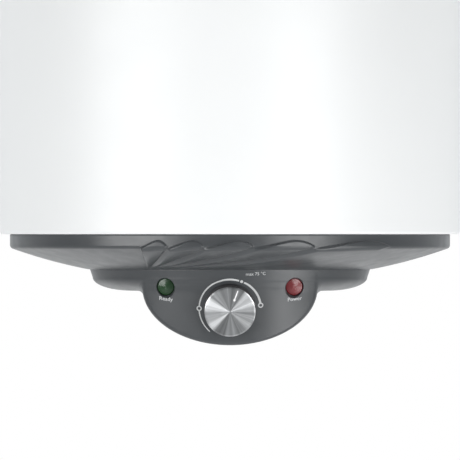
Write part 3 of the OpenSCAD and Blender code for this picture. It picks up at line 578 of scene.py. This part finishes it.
def outer_casing():
    """The rolled jacket, with its edges turned in and its lap seam at the back."""
    edge = (CASING_R - CASING_EDGE, CASING_EDGE)
    top = (edge[0], CASING_H - CASING_EDGE)
    outer, inner = (CASING_EDGE,) * 2, (CASING_EDGE - CASING_T,) * 2
    section = (
        [(LIP_R, 0.5), (LIP_R + 0.5, 0)] + arc(edge, outer, -90, 0, 6) + arc(top, outer, 0, 90, 6)
        + [(LIP_R + 0.5, CASING_H), (LIP_R, CASING_H - 0.5), (LIP_R, CASING_H - CASING_T)]
        + arc(top, inner, 90, 0, 4) + arc(edge, inner, 0, -90, 4) + [(LIP_R, CASING_T)]
    )
    half = SEAM_WIDTH / 2 / CASING_R
    steps = np.array([-1.15, -1, -0.9, 0.9, 1, 1.15]) * half
    angles = np.sort(np.append(even_angles(240), SEAM_ANGLE + steps))

    def seam(radius, height, angle):
        """The lap stands out of the side, and not out of the turned-in edges."""
        across = np.abs(angle - SEAM_ANGLE) / half
        on_side = radius > CASING_R - CASING_T - 0.01
        return SEAM_HEIGHT * np.clip((1.15 - across) / 0.15, 0, 1) * on_side

    points, faces = turned(section, angles, seam)
    casing = finished(solid("outer_casing.jacket", points, faces), "white_enamel", smooth=28)
    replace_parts(casing, "outer_casing")


def top_cap():
    """The upper cover: a shallow dome with a low step round its middle, and its locating rim."""
    edge = 6.0
    rise = TOP_CAP_H - edge - 4
    base = CASING_H
    side = base + 4

    def crown(radius):
        """Height of the dome at a radius."""
        return side + (edge + rise) * math.sqrt(max(0, 1 - (radius / (BAND_R - edge)) ** 2))

    shoulder = arc((BAND_R - edge, side), (edge, edge), 0, 60, 8)
    dome = [(r, crown(r)) for r in np.linspace(shoulder[-1][0] - 4, 95, 14)]
    step = [(92, crown(92)), (91, crown(91) - 0.9), (89, crown(89) - 0.9), (88, crown(88))]
    middle = [(r, crown(r)) for r in np.linspace(80, 0, 8)]
    under = [(r, crown(r) - CAP_WALL) for r in np.linspace(0, BAND_R - edge - 6, 16)]
    section = (
        [(RIM_R - CAP_WALL, base - RIM_H), (RIM_R, base - RIM_H), (RIM_R, base)]
        + [(BAND_R - 0.9, base), (BAND_R, base + 0.9)] + shoulder + dome + step + middle + under
        + [(BAND_R - CAP_WALL, side), (BAND_R - CAP_WALL, base + CAP_WALL)]
        + [(RIM_R - CAP_WALL, base + CAP_WALL)]
    )
    points, faces = turned(section, even_angles(192))
    cap = finished(solid("top_cap.cover", points, faces), "cap_grey")
    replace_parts(cap, "top_cap")


outer_casing()
top_cap()

# ---- Bottom cap: band, shoulder and leaf relief ----

BAND_H = 10.4
BAND_EDGE = 4.0
BOSS_R = 137.0
SHOULDER_FALL = 20.0
SHOULDER_BULGE = 3.0
EDGE_ANGLE = 71.0


def shoulder_points(steps):
    """The shoulder's outline, from the band's rounded edge to the crease above the boss."""
    turn = math.radians(EDGE_ANGLE)
    start = np.array((
        BAND_R - BAND_EDGE * (1 - math.cos(turn)), -BAND_H - BAND_EDGE * math.sin(turn)
    ))
    stop = np.array((BOSS_R + 2, start[1] - SHOULDER_FALL))
    middle = (start + stop) / 2 - (0, SHOULDER_BULGE)
    return curve(start, middle, stop, steps)


# Radius and height of the crease between the shoulder and the boss.
CREASE = shoulder_points(1)[-1]
# Each line between two leaves runs from the root to one of these places, and curves by its sweep.
LEAF_ENDS = (-87.0, -60.0, -24.0, 24.0, 83.0, 157.0)
LEAF_SWEEP = (1.0, 0.8, 0.8, 0.75, 0.6, 0.38)
LEAF_ROOT = (-80.0, CREASE[1] + 1.0)
# Leaves meet at the valley's height, rise by the crest between, and peak right of their middle.
LEAF_VALLEY = -12.0
LEAF_CREST = 6.2
LEAF_SKEW = 1.73
# How far they stand out in the middle and more at their tips, and the width of their first rim.
LEAF_FULL = 3.0
LEAF_TIP = 0.9
LEAF_RIM = 2.6


def smooth_step(low, high, value):
    """Grows from 0 to 1 between two values, level at both ends."""
    t = np.clip((value - low) / (high - low), 0, 1)
    return t * t * (3 - 2 * t)


def leaf_edge(index, z):
    """Where the line between two leaves stands, at a height seen from the front."""
    rise = np.clip((z - LEAF_ROOT[1]) / (LEAF_VALLEY - LEAF_ROOT[1]), 0, 1)
    return LEAF_ROOT[0] + (LEAF_ENDS[index] - LEAF_ROOT[0]) * rise ** LEAF_SWEEP[index]


def leaf_relief(x, z):
    """How far the overlapping leaves stand out of the cap, at a place seen from the front."""
    height = np.zeros_like(x)
    rise = np.clip((z - LEAF_ROOT[1]) / (LEAF_VALLEY - LEAF_ROOT[1]), 0, 1)
    fullness = LEAF_FULL * np.sin(0.8 * np.pi * rise**0.8) + LEAF_TIP * rise
    for index in range(len(LEAF_ENDS) - 1):
        left, right = leaf_edge(index, z), leaf_edge(index + 1, z)
        width = np.maximum(right - left, 0.5)
        across = (x - left) / width
        span = np.clip((x - LEAF_ENDS[index]) / (LEAF_ENDS[index + 1] - LEAF_ENDS[index]), 0, 1)
        top = LEAF_VALLEY + LEAF_CREST * np.sin(np.pi * span**LEAF_SKEW)
        below_top = smooth_step(-0.2, 1.4, top - z)
        soft = LEAF_RIM * (1 + 0.8 * index) / width
        rim = smooth_step(0, soft, across) * (1 - 0.5 * smooth_step(0.25, 1.0, across))
        rim = rim * (1 - smooth_step(1 - 0.6 * soft, 1, across))
        inside = (across >= 0) & (across < 1)
        height = np.where(inside, fullness * rim * below_top, height)
    return height


def cap_skirt():
    """Band and shoulder as one closed ring, finely divided where the leaves stand."""
    band = [(BAND_R, z) for z in np.arange(-1.2, -BAND_H, -0.55)]
    edge = arc((BAND_R - BAND_EDGE, -BAND_H), (BAND_EDGE,) * 2, 0, -EDGE_ANGLE, 9)
    shoulder = shoulder_points(110)[1:]
    outer = np.array([(BAND_R - 0.9, 0.0), (BAND_R - 0.3, -0.3)] + band + edge + shoulder)
    lip_r = BOSS_R - 1.5
    crease = [(BOSS_R - 0.2, CREASE[1] - 0.25), (lip_r, CREASE[1] - 0.25)]
    inner = [(r, z + CAP_WALL) for r, z in reversed(shoulder_points(8))]
    rim = [
        (BAND_R - CAP_WALL, -BAND_H), (BAND_R - CAP_WALL, -CAP_WALL), (RIM_R - CAP_WALL, -CAP_WALL),
        (RIM_R - CAP_WALL, RIM_H), (RIM_R, RIM_H), (RIM_R, 0),
    ]
    lip_top = (lip_r, CREASE[1] + CAP_WALL)
    section = np.vstack([outer, crease, lip_top, inner[1:], rim])
    fine = np.radians(np.arange(-128, -34, 0.16))
    coarse = np.radians(np.arange(-34, 232, 1.4))
    angles = np.concatenate([fine, coarse])
    along = np.gradient(outer, axis=0)
    normal = np.stack([-along[:, 1], along[:, 0]], 1)
    normal /= np.linalg.norm(normal, axis=1)[:, None]
    radius, height = (np.repeat(section[:, i:i + 1], len(angles), 1) for i in (0, 1))
    count = len(outer)
    proud = leaf_relief(radius[:count] * np.cos(angles), height[:count])
    proud = proud * (np.sin(angles) < 0)
    radius[:count] += proud * normal[:, :1]
    height[:count] += proud * normal[:, 1:]
    points = np.stack([radius * np.cos(angles), radius * np.sin(angles), height], -1)
    faces = grid_faces(len(section), len(angles), closed_rows=True, closed_columns=True)
    skirt = finished(solid("bottom_cap.skirt", points.reshape(-1, 3), faces), "cap_grey", smooth=50)
    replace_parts(skirt, "bottom_cap")


cap_skirt()

# ---- Bottom cap: boss and half-moon panel, one smooth moulding ----

# The boss's side goes in by its draft over its height, to an oval edge of these half axes.
BOSS_DRAFT = 2.7
BOSS_SIDE = 8.0
BOSS_EDGE = (38.0, 13.0)
# The panel's face is sunk by this much, and comes out flush with the boss's side at the top.
PANEL_HALF_W = 85.0
PANEL_SINK = 0.8
PANEL_RUN_OUT = 16.0
PANEL_BACK_Y = -48.3
PANEL_ROUND = 3.0
# Fillet between boss and panel, and its least radius where they are nearly flush.
JOIN_ROUND = 5.0
JOIN_LEAST = 1.6
# Cell of the grid that the moulding's mesh is drawn from; finer than its wall.
VOXEL = 1.15
# Seats behind the panel for the thermostat's neck and its two screws.
SEAT_DEPTH = 7.0
SEAT_R = 11.0
EAR_SPAN = 38.0
EAR_R = 3.5
SEAT_TOP = -2.0
LAMP_COLLAR = 1.8

boss_edge_z = CREASE[1] - BOSS_SIDE
boss_low_r = BOSS_R - BOSS_DRAFT
panel_mid_z = BOSS_BOTTOM + 3.8
panel_drop = panel_mid_z - PANEL_LOW


def seen_from(matrix, points):
    """Points of the tank's frame, in the frame that a matrix places."""
    inverse = np.array(matrix.inverted())
    return points @ inverse[:3, :3].T + inverse[:3, 3]


def oval_distance(x, z, half_width, half_height):
    """Nearly the signed distance from an oval, and exact on its line."""
    near = np.hypot(x / half_width, z / half_height) + 1e-9
    steep = np.hypot(x / half_width**2, z / half_height**2) + 1e-11
    return near * (near - 1) / steep


def boss_distance(points):
    """Signed distance from the turned boss: its side, rounded lower edge and flat bottom."""
    radius = np.hypot(points[:, 0], points[:, 1])
    down = boss_edge_z - points[:, 2]
    across = radius - (boss_low_r - BOSS_EDGE[0])
    slope = math.cos(math.atan2(BOSS_DRAFT, BOSS_SIDE))
    side = (radius - boss_low_r + np.clip(down / BOSS_SIDE, -1, 0) * BOSS_DRAFT) * slope
    corner = oval_distance(across, down, *BOSS_EDGE)
    return np.where(down < 0, side, np.where(across < 0, down - BOSS_EDGE[1], corner))


def round_meet(a, b, radius):
    """Where two solids overlap, with the edge between them rounded."""
    beyond = np.hypot(np.maximum(a + radius, 0), np.maximum(b + radius, 0))
    return np.minimum(-radius, np.maximum(a, b)) + beyond


def round_join(a, b, radius):
    """Two solids together, with the corner between them filled to a radius."""
    within = np.hypot(np.maximum(radius - a, 0), np.maximum(radius - b, 0))
    return np.maximum(radius, np.minimum(a, b)) - within


def panel_distance(points):
    """Signed distance from the half-moon housing: oval outline, curved face and sloping back."""
    x, y, z = points.T
    outline = oval_distance(x, np.minimum(z - panel_mid_z, 0), PANEL_HALF_W, panel_drop)
    local = seen_from(KNOB, points)
    flush = PANEL_SINK * smooth_step(boss_edge_z - PANEL_RUN_OUT, boss_edge_z, z)
    face = np.hypot(local[:, 0], local[:, 2] + boss_low_r) - boss_low_r - flush
    back = ((y - PANEL_BACK_Y) - (z - BOSS_BOTTOM)) * math.sqrt(0.5)
    return round_meet(round_meet(outline, face, PANEL_ROUND), back, PANEL_ROUND)


def seat_distance(points, matrix, centre, radius, deep, shallow):
    """Signed distance from a round seat moulded behind the panel."""
    local = seen_from(matrix, points) - (*centre, 0)
    middle, half = (deep + shallow) / 2, (shallow - deep) / 2
    return np.maximum(np.hypot(local[:, 0], local[:, 1]) - radius, np.abs(local[:, 2] - middle) - half)


def joined(points, boss, panel):
    """Boss and panel as one solid, with a small fillet where they are nearly flush."""
    join = JOIN_LEAST + (JOIN_ROUND - JOIN_LEAST) * smooth_step(4, 10, boss_edge_z - points[:, 2])
    return round_join(boss, panel, join)


def moulding_distance(points):
    """Signed distance from the hollow moulding, open at its top."""
    boss, panel = boss_distance(points), panel_distance(points)
    shell = np.maximum(joined(points, boss, panel), -np.minimum(boss, panel) - CAP_WALL)
    ears = [(side * EAR_SPAN / 2, 0) for side in (-1, 1)]
    seats = [(KNOB, (0, 0), SEAT_R, -SEAT_DEPTH, SEAT_TOP)]
    seats += [(KNOB, ear, EAR_R, -SEAT_DEPTH, SEAT_TOP) for ear in ears]
    collar = (LENS_R + LAMP_COLLAR, -LENS_T / 2, LENS_T / 2 - 1.2)
    seats += [(lamp, (0, 0), *collar) for lamp in LAMPS.values()]
    for seat in seats:
        shell = np.minimum(shell, seat_distance(points, *seat))
    return np.maximum(shell, points[:, 2] - CREASE[1] - 1)


def surface_net(distance, low, high, step):
    """A closed mesh of quads on the zero level of a signed distance.

    Each grid cell that the surface crosses has one point, at the mean of its crossed edges, and
    each crossed grid edge has one quad between the four cells round it.
    """
    axes = [np.arange(a, b + step, step) for a, b in zip(low, high)]
    shape = tuple(len(a) for a in axes)
    grid = np.stack(np.meshgrid(*axes, indexing="ij"), -1).reshape(-1, 3)
    value = distance(grid).reshape(shape)
    inside = value < 0
    corners = [(i, j, k) for i in (0, 1) for j in (0, 1) for k in (0, 1)]
    cells = tuple(n - 1 for n in shape)

    def at_corner(array, corner):
        """The grid's values at one corner of every cell."""
        return array[tuple(slice(c, c + n) for c, n in zip(corner, cells))]

    filled = sum(at_corner(inside, c).astype(np.int8) for c in corners)
    cell = np.argwhere((filled > 0) & (filled < 8))
    number = np.full(cells, -1)
    number[tuple(cell.T)] = np.arange(len(cell))
    total, crossings = np.zeros((len(cell), 3)), np.zeros((len(cell), 1))
    for a in corners:
        for axis in range(3):
            if a[axis]:
                continue
            b = tuple(c + (i == axis) for i, c in enumerate(a))
            va, vb = (value[tuple((cell + c).T)] for c in (a, b))
            crossed = (va < 0) != (vb < 0)
            t = va[crossed] / (va[crossed] - vb[crossed])
            spot = np.array(a, float) + t[:, None] * (np.array(b) - a)
            total[crossed] += spot
            crossings[crossed] += 1
    points = np.array(low) + (cell + total / crossings) * step
    faces = []
    for axis in range(3):
        u, v = (axis + 1) % 3, (axis + 2) % 3
        first = inside[tuple(slice(0, -1) if i == axis else slice(1, -1) for i in range(3))]
        second = inside[tuple(slice(1, None) if i == axis else slice(1, -1) for i in range(3))]
        edge = np.argwhere(first != second) + [0 if i == axis else 1 for i in range(3)]
        around = [(0, 0), (1, 0), (1, 1), (0, 1)]
        quad = []
        for du, dv in around:
            shift = np.zeros(3, int)
            shift[u], shift[v] = du, dv
            quad.append(number[tuple((edge - shift).T)])
        faces.append(np.stack(quad, 1))
    return onto_surface(distance, points, step), np.vstack(faces)


def onto_surface(distance, points, step, rounds=3):
    """Moves points along the distance's slope until they lie on its zero level."""
    probe = 0.02
    for _ in range(rounds):
        value = distance(points)
        slope = np.stack([distance(points + d) - value for d in np.eye(3) * probe], 1) / probe
        steep = np.maximum((slope**2).sum(1), 0.25)
        points = points - slope * np.clip(value / steep, -step / 4, step / 4)[:, None]
    return points


def cutter(matrix, section, steps=64):
    """A turned shape for cut_away() to take out."""
    return lathe("cutter", section, matrix, steps)


def upright(x, y):
    """A frame in the boss's underside at a place, with +Z up."""
    return Matrix.Translation((x, y, BOSS_BOTTOM))


def pin_hole(radius, lip=0.5, reach=12):
    """Section of a cutter for a round hole whose outer edge, at z = 0, is chamfered by lip."""
    return [
        (0, -reach), (radius + reach, -reach), (radius + lip, -lip / 2), (radius, lip),
        (radius, reach), (0, reach),
    ]


PIPE_SPOTS = {}
for name in ("cold_inlet_pipe", "hot_outlet_pipe"):
    low, high = (in_tank_frame(corner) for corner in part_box(name))
    PIPE_SPOTS[name] = ((low.x + high.x) / 2, (low.y + high.y) / 2)
gland_low, gland_high = (in_tank_frame(corner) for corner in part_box("cable_gland"))
GLAND_SPOT = ((gland_low.x + gland_high.x) / 2, (gland_low.y + gland_high.y) / 2)
SCREW_SPOTS = ((-78.0, -30.0), (78.0, -30.0), (0.0, 90.0))
SCREW_HEAD_R = 3.9
SCREW_HOLE_R = 2.2
COUNTERBORE = 1.4
BUSH_HOLE_R = 5.2
PIPE_R = 10.0
THREAD_R = 10.48
PIPE_GAP = 0.4
GLAND_R = 8.0
GLAND_GAP = 0.1


def boss_and_panel():
    """The moulding, with its holes for lamps, spindle, pipes, gland and screws."""
    reach = BOSS_R + 3 * VOXEL
    points, faces = surface_net(
        moulding_distance,
        (-reach, -reach, PANEL_LOW - 3 * VOXEL), (reach, reach, CREASE[1] + 4 * VOXEL), VOXEL,
    )
    moulding = solid("bottom_cap.boss", points, faces)
    front = LENS_T / 2
    lens_hole = [
        (0, -12), (LENS_R + 0.2, -12), (LENS_R + 0.2, front + 1.2), (LENS_R + 0.9, front + 2),
        (LENS_R + 3, front + 6), (0, front + 6),
    ]
    bush_hole = [(0, -12), (BUSH_HOLE_R, -12), (BUSH_HOLE_R, 4), (0, 4)]
    cutters = [cutter(lamp, lens_hole) for lamp in LAMPS.values()]
    cutters.append(cutter(KNOB, bush_hole))
    cutters += [cutter(upright(*spot), pin_hole(THREAD_R + PIPE_GAP)) for spot in PIPE_SPOTS.values()]
    cutters.append(cutter(upright(*GLAND_SPOT), pin_hole(GLAND_R + GLAND_GAP)))
    head = SCREW_HEAD_R + 0.3
    screw_hole = [
        (0, -4), (head, -4), (head, COUNTERBORE), (SCREW_HOLE_R, COUNTERBORE), (SCREW_HOLE_R, 8),
        (0, 8),
    ]
    cutters += [cutter(upright(*spot), screw_hole, 32) for spot in SCREW_SPOTS]
    cut_away(moulding, cutters)
    finished(moulding, "cap_grey", smooth=38)
    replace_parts(moulding, "bottom_cap")


boss_and_panel()

# ---- Temperature knob ----

# The knob's setting in the photograph, clockwise from straight up.
KNOB_REST = math.radians(20)
# Heights are along the knob's axis, over the panel's face.
KNOB_R = 25.4
KNOB_BASE = 0.8
KNOB_ROOF = 7.3
KNOB_TOP = 10.3
KNOB_WALL = 3.0
HUB_R = 6.0
SPINDLE_R = 3.05
SPINDLE_TOP = 9.5
FACE_R = KNOB_R - 0.8
FACE_T = 1.0
POINTER_T = 0.3

knob_turned = KNOB @ Matrix.Rotation(-KNOB_REST, 4, "Z")


def knob_body():
    """The dark skirt: a cup with a hub, its top edge rounded just outside the metal face."""
    inner = KNOB_R - KNOB_WALL
    section = [(0, SPINDLE_TOP), (SPINDLE_R, SPINDLE_TOP), (SPINDLE_R, KNOB_BASE)]
    section += [(HUB_R, KNOB_BASE), (HUB_R, KNOB_ROOF), (inner, KNOB_ROOF), (inner, KNOB_BASE)]
    section += [(KNOB_R - 0.5, KNOB_BASE), (KNOB_R - 0.1, KNOB_BASE + 0.15)]
    section += [(KNOB_R, KNOB_BASE + 0.6), (KNOB_R - 0.12, 3.2), (KNOB_R - 0.35, 9.2)]
    section += [(KNOB_R - 0.55, 9.75), (KNOB_R - 0.95, 9.95), (FACE_R - 0.3, 9.95)]
    section += [(FACE_R - 0.3, KNOB_TOP), (0, KNOB_TOP)]
    skirt = lathe("knob_body.skirt", section, knob_turned, 128)
    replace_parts(finished(skirt, "knob_dark", "knob"), "knob_body")


def knob_face():
    """The spun disc: a bright chamfer, a fine turned line inside it and a centre dimple."""
    top = KNOB_TOP + FACE_T
    section = [
        (0, KNOB_TOP), (FACE_R, KNOB_TOP), (FACE_R, top - 0.4), (FACE_R - 0.9, top - 0.03),
        (FACE_R - 1.1, top), (FACE_R - 2.2, top), (FACE_R - 2.3, top - 0.08),
        (FACE_R - 2.4, top), (0.7, top), (0.45, top - 0.12), (0, top - 0.18),
    ]
    disc = lathe("knob_face.disc", section, knob_turned, 192)
    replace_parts(finished(disc, "knob_metal", "knob", 20), "knob_face")


def prism(name, outline, low, high, matrix):
    """A flat solid with the given outline, between two heights of a frame."""
    count = len(outline)
    points = [(x, y, z) for z in (low, high) for x, y in outline]
    faces = grid_faces(2, count, closed_columns=True).tolist()
    faces += [list(range(count))[::-1], list(range(count, 2 * count))]
    return solid(name, points, faces, matrix)


def knob_pointer():
    """The pointer's line with its round inner end, standing a little out of the face."""
    inner, outer, half, ball = KNOB_R / 2 - 0.3, KNOB_R - 3.2, 0.55, 1.1
    notch = math.degrees(math.asin(half / ball))
    outline = arc((0, inner), (ball, ball), 90 + notch, 450 - notch, 28)
    outline += arc((0, outer - half), (half, half), 0, 180, 10)
    top = KNOB_TOP + FACE_T
    line = prism("knob_pointer.line", outline, top, top + POINTER_T, knob_turned)
    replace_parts(finished(line, "pointer_white", "knob"), "knob_pointer")


knob_body()
knob_face()
knob_pointer()

# ---- Pilot lamps ----

DOME_R = 30.0
LENS_RINGS = 1.5
LENS_RING_DEPTH = 0.05


def lamp_lens(node, slot):
    """A domed lens with fine rings pressed into its face and a narrow rounded rim."""
    front = LENS_T / 2
    rim_z = front - DOME_R + math.sqrt(DOME_R**2 - LENS_R**2)
    dome = []
    for r in np.arange(0, LENS_R - 0.9, 0.25):
        ring = LENS_RING_DEPTH * (math.cos(2 * math.pi * r / LENS_RINGS) - 1)
        dome.append((r, front - DOME_R + math.sqrt(DOME_R**2 - r**2) + ring))
    section = [(0, -front), (LENS_R - 0.3, -front), (LENS_R, -front + 0.3), (LENS_R, rim_z - 0.35)]
    section += [(LENS_R - 0.35, rim_z)] + dome[::-1]
    lens = lathe(node + ".dome", section, LAMPS[node], 96)
    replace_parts(finished(lens, slot), node)


lamp_lens("green_lens", "lens_green")
lamp_lens("red_lens", "lens_red")

# ---- Dial ring and generic labels, printed on the panel ----

PRINT_T = 0.10
PRINT_SINK = 0.06
# Angles are in degrees, counterclockwise from the knob's right.
DIAL_R = 29.8
DIAL_START = -131.0
DIAL_DOT = 68.0
DOT_R = 1.45
MARK_ANGLES = (180.0, 6.0)
MARK_R = 2.0
MARK_LINE = 1.15
# Words, the place of their middle from the knob's axis, and their height.
LABELS = {
    "label.ready": ("Ready", -62.0, 6.6, 5.4),
    "label.heat": ("Power", 62.5, 6.4, 5.2),
    "label.dial": ("max 75 \u00b0C", 24.6, 34.8, 4.4),
}


def on_panel(places, lifts):
    """Points lifted off the panel's face, from places measured flat across the knob's axis."""
    flat = np.array(places, float)
    bulge = np.sqrt(boss_low_r**2 - flat[:, 0] ** 2) - boss_low_r
    local = np.column_stack([flat, bulge])
    matrix = np.array(KNOB)
    points = local @ matrix[:3, :3].T + matrix[:3, 3]

    def above_face(places):
        """Distance from the surface that the points belong on."""
        return joined(places, boss_distance(places), panel_distance(places)) - lifts

    return onto_surface(above_face, points, 3.0, 6)


def printed(name, outer, inner, closed=False):
    """A thin printed band between two rows of places on the panel."""
    count = len(outer)
    places = [*outer, *inner, *inner, *outer]
    lifts = np.repeat([PRINT_T, PRINT_T, -PRINT_SINK, -PRINT_SINK], count)
    faces = grid_faces(4, count, closed_rows=True, closed_columns=closed).tolist()
    if not closed:
        faces += [[row * count + column for row in range(4)] for column in (0, count - 1)]
    finished(solid(name, on_panel(places, lifts), faces), "print_grey", smooth=20)


def polar(radius, degrees):
    """A place at a radius and an angle."""
    return radius * math.cos(math.radians(degrees)), radius * math.sin(math.radians(degrees))


def dial_arc(name, start, stop, thin, thick):
    """Part of the dial's ring, growing from a thin to a thick line."""
    angles = np.linspace(start, stop, max(8, int(abs(stop - start) / 3)))
    widths = np.linspace(thin, thick, len(angles)) / 2
    outer = [polar(DIAL_R + w, a) for a, w in zip(angles, widths)]
    inner = [polar(DIAL_R - w, a) for a, w in zip(angles, widths)]
    printed(name, outer, inner)


def dial_spot(name, degrees, outer_r, inner_r):
    """A small ring or dot standing on the dial's ring."""
    cx, cy = polar(DIAL_R, degrees)
    turns = [polar(1, t) for t in range(0, 360, 10)]
    outer, inner = ([(cx + x * r, cy + y * r) for x, y in turns] for r in (outer_r, inner_r))
    printed(name, outer, inner, closed=True)


def label(name, text, x, y, size):
    """Generic lettering on the panel, in thin raised type that follows its face."""
    data = bpy.data.curves.new(name, "FONT")
    data.body = text
    data.size = size
    data.align_x = "CENTER"
    data.align_y = "CENTER"
    data.extrude = (PRINT_T + PRINT_SINK) / 2
    data.resolution_u = 3
    type_object = bpy.data.objects.new(name + ".type", data)
    bpy.context.scene.collection.objects.link(type_object)
    graph = bpy.context.evaluated_depsgraph_get()
    mesh = bpy.data.meshes.new_from_object(type_object.evaluated_get(graph))
    bpy.data.objects.remove(type_object)
    places = [(v.co.x + x, v.co.y + y) for v in mesh.vertices]
    lifts = np.array([v.co.z for v in mesh.vertices]) + (PRINT_T - PRINT_SINK) / 2
    faces = [list(p.vertices) for p in mesh.polygons]
    finished(solid(name, on_panel(places, lifts), faces), "print_grey", smooth=20)


def dial():
    """The ring with its dot and two end markers; its line grows clockwise."""
    gap = math.degrees((MARK_R + MARK_LINE / 2) / DIAL_R) - 0.6
    left, right = MARK_ANGLES
    dial_arc("dial.low", DIAL_START, left - 360 + gap, 0.9, 1.3)
    dial_arc("dial.middle", left - gap, DIAL_DOT + 5, 1.3, 1.6)
    dial_arc("dial.high", DIAL_DOT - 5, right + gap, 1.8, 2.1)
    dial_spot("dial.dot", DIAL_DOT, DOT_R, 0.02)
    for name, angle in zip(("dial.left_mark", "dial.right_mark"), MARK_ANGLES):
        dial_spot(name, angle, MARK_R + MARK_LINE / 2, MARK_R - MARK_LINE / 2)


dial()
for name, (text, x, y, size) in LABELS.items():
    label(name, text, x, y, size)

# ---- Underside: threaded pipe ends and cable gland ----

PIPE_BORE_R = 7.1
THREAD_PITCH = 1.814
THREAD_DEPTH = 1.16
THREAD_LENGTH = 20.0
THREAD_FADE = 2.5
GLAND_HEX_R = 11.0
GLAND_HEX_H = 5.0
GLAND_DOME_R = 10.0
GLAND_BORE_R = 4.2
GLAND_PITCH = 1.5
GLAND_RIBS = 18
GLAND_RIB_DEPTH = 0.5


def threaded_pipe(node):
    """A steel pipe with a real helical thread cut on its lower end."""
    low, high = (in_tank_frame(corner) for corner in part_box(node))
    thread_top = low.z + THREAD_LENGTH
    cut_rows = int(THREAD_LENGTH / THREAD_PITCH * 8)
    heights = [*np.linspace(low.z, thread_top, cut_rows), high.z]
    section = [(PIPE_BORE_R, low.z), *((PIPE_R, z) for z in heights), (PIPE_BORE_R, high.z)]

    def thread(radius, height, angle):
        """Takes the pipe's outside to the thread, which fades in and out, with a lead-in."""
        along = (height - low.z) / THREAD_PITCH - angle / (2 * math.pi)
        crest = THREAD_R - THREAD_DEPTH * np.abs((along % 1) - 0.5) * 2
        start = smooth_step(0, THREAD_FADE, height - low.z)
        cut = start * smooth_step(0, THREAD_FADE, thread_top - height)
        lead_in = 0.8 * (1 - smooth_step(0, 1.4, height - low.z))
        shaped = PIPE_R + cut * (crest - PIPE_R) - lead_in
        return np.where(radius > PIPE_BORE_R + 1, shaped - radius, 0)

    points, faces = turned(section, even_angles(64), thread)
    pipe = solid(node + ".thread", points, faces, Matrix.Translation((*PIPE_SPOTS[node], 0)))
    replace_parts(finished(pipe, "zinc_steel", smooth=40), node)


def cable_gland():
    """The gland: threaded barrel, hexagon and a ribbed, round-shouldered dome nut."""
    start = BOSS_BOTTOM - GLAND_HEX_H
    tip = gland_low.z
    barrel_r = GLAND_R - 0.05
    barrel_rows = np.arange(BOSS_BOTTOM + 3.5, gland_high.z - 0.4, GLAND_PITCH / 2)
    section = [(GLAND_BORE_R, gland_high.z), (GLAND_BORE_R, tip + 1.5), (GLAND_BORE_R + 1.2, tip)]
    section += [(7.0, tip), (8.4, tip + 0.5), (9.4, tip + 1.9), (GLAND_DOME_R - 0.2, tip + 4)]
    section += [(GLAND_DOME_R, tip + 5), (GLAND_DOME_R, start - 0.8), (GLAND_DOME_R - 0.6, start)]
    section += [(GLAND_R + 0.6, start + 0.01), (barrel_r, BOSS_BOTTOM + 2.6)]
    section += [(barrel_r - 0.7 * (i % 2), z) for i, z in enumerate(barrel_rows)]
    section += [(GLAND_R - 0.8, gland_high.z)]

    def ribs(radius, height, angle):
        """Narrow grooves between the dome nut's grip ribs."""
        groove = GLAND_RIB_DEPTH * (1 - np.abs(np.sin(GLAND_RIBS / 2 * angle)) ** 0.6)
        rib = smooth_step(tip + 2.5, tip + 5, height) * (height < start - 0.5)
        return np.where(radius > GLAND_R, -groove * rib, 0)

    place = Matrix.Translation((*GLAND_SPOT, 0))
    points, faces = turned(section, even_angles(144), ribs)
    dome = solid("cable_gland.dome", points, faces, place)
    flat = GLAND_HEX_R * math.cos(math.radians(30))
    bevelled = [(7.9, start + 0.02), (flat, start + 0.02), (GLAND_HEX_R, start + 0.7)]
    bevelled += [(GLAND_HEX_R, BOSS_BOTTOM - 0.7), (flat + 0.4, BOSS_BOTTOM), (7.9, BOSS_BOTTOM)]

    def hexagon(radius, height, angle):
        """Takes the turned blank down to the hexagon's six flats."""
        turn = (angle + math.pi / 6) % (math.pi / 3) - math.pi / 6
        face = flat / np.cos(turn)
        return np.where(radius > 8, np.minimum(radius, face) - radius, 0)

    points, faces = turned(bevelled, even_angles(96), hexagon)
    nut = solid("cable_gland.hexagon", points, faces, place @ Matrix.Rotation(math.pi / 6, 4, "Z"))
    for piece in (dome, nut):
        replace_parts(finished(piece, "black_nylon"), "cable_gland")


threaded_pipe("cold_inlet_pipe")
threaded_pipe("hot_outlet_pipe")
cable_gland()

# ---- Softened edges on the pieces kept from the frame ----

# Width of the softened edge, in millimetres.
EDGE_RADII = {
    "wall_bracket": 0.6, "bracket_nuts": 0.4, "bracket_studs": 0.4, "wall_spacer": 0.8,
    "cold_ring": 0.4, "hot_ring": 0.4, "cap_screws": 0.25, "reset_button": 0.4,
    "thermostat_body": 0.8, "thermal_cutout": 0.6, "terminal_block": 0.5, "flange_plate": 0.8,
    "flange_nuts": 0.4, "gland_locknut": 0.4, "anode_nut": 0.4,
}


def soften(node, radius):
    """Rounds a node's sharp edges with a modifier, which leaves its mesh as it is."""
    obj = frame["nodes"][node]
    bevel = obj.modifiers.new("edges", "BEVEL")
    bevel.width = radius * MM
    bevel.segments = 2
    bevel.limit_method = "ANGLE"
    bevel.angle_limit = math.radians(40)


for node, radius in EDGE_RADII.items():
    soften(node, radius)
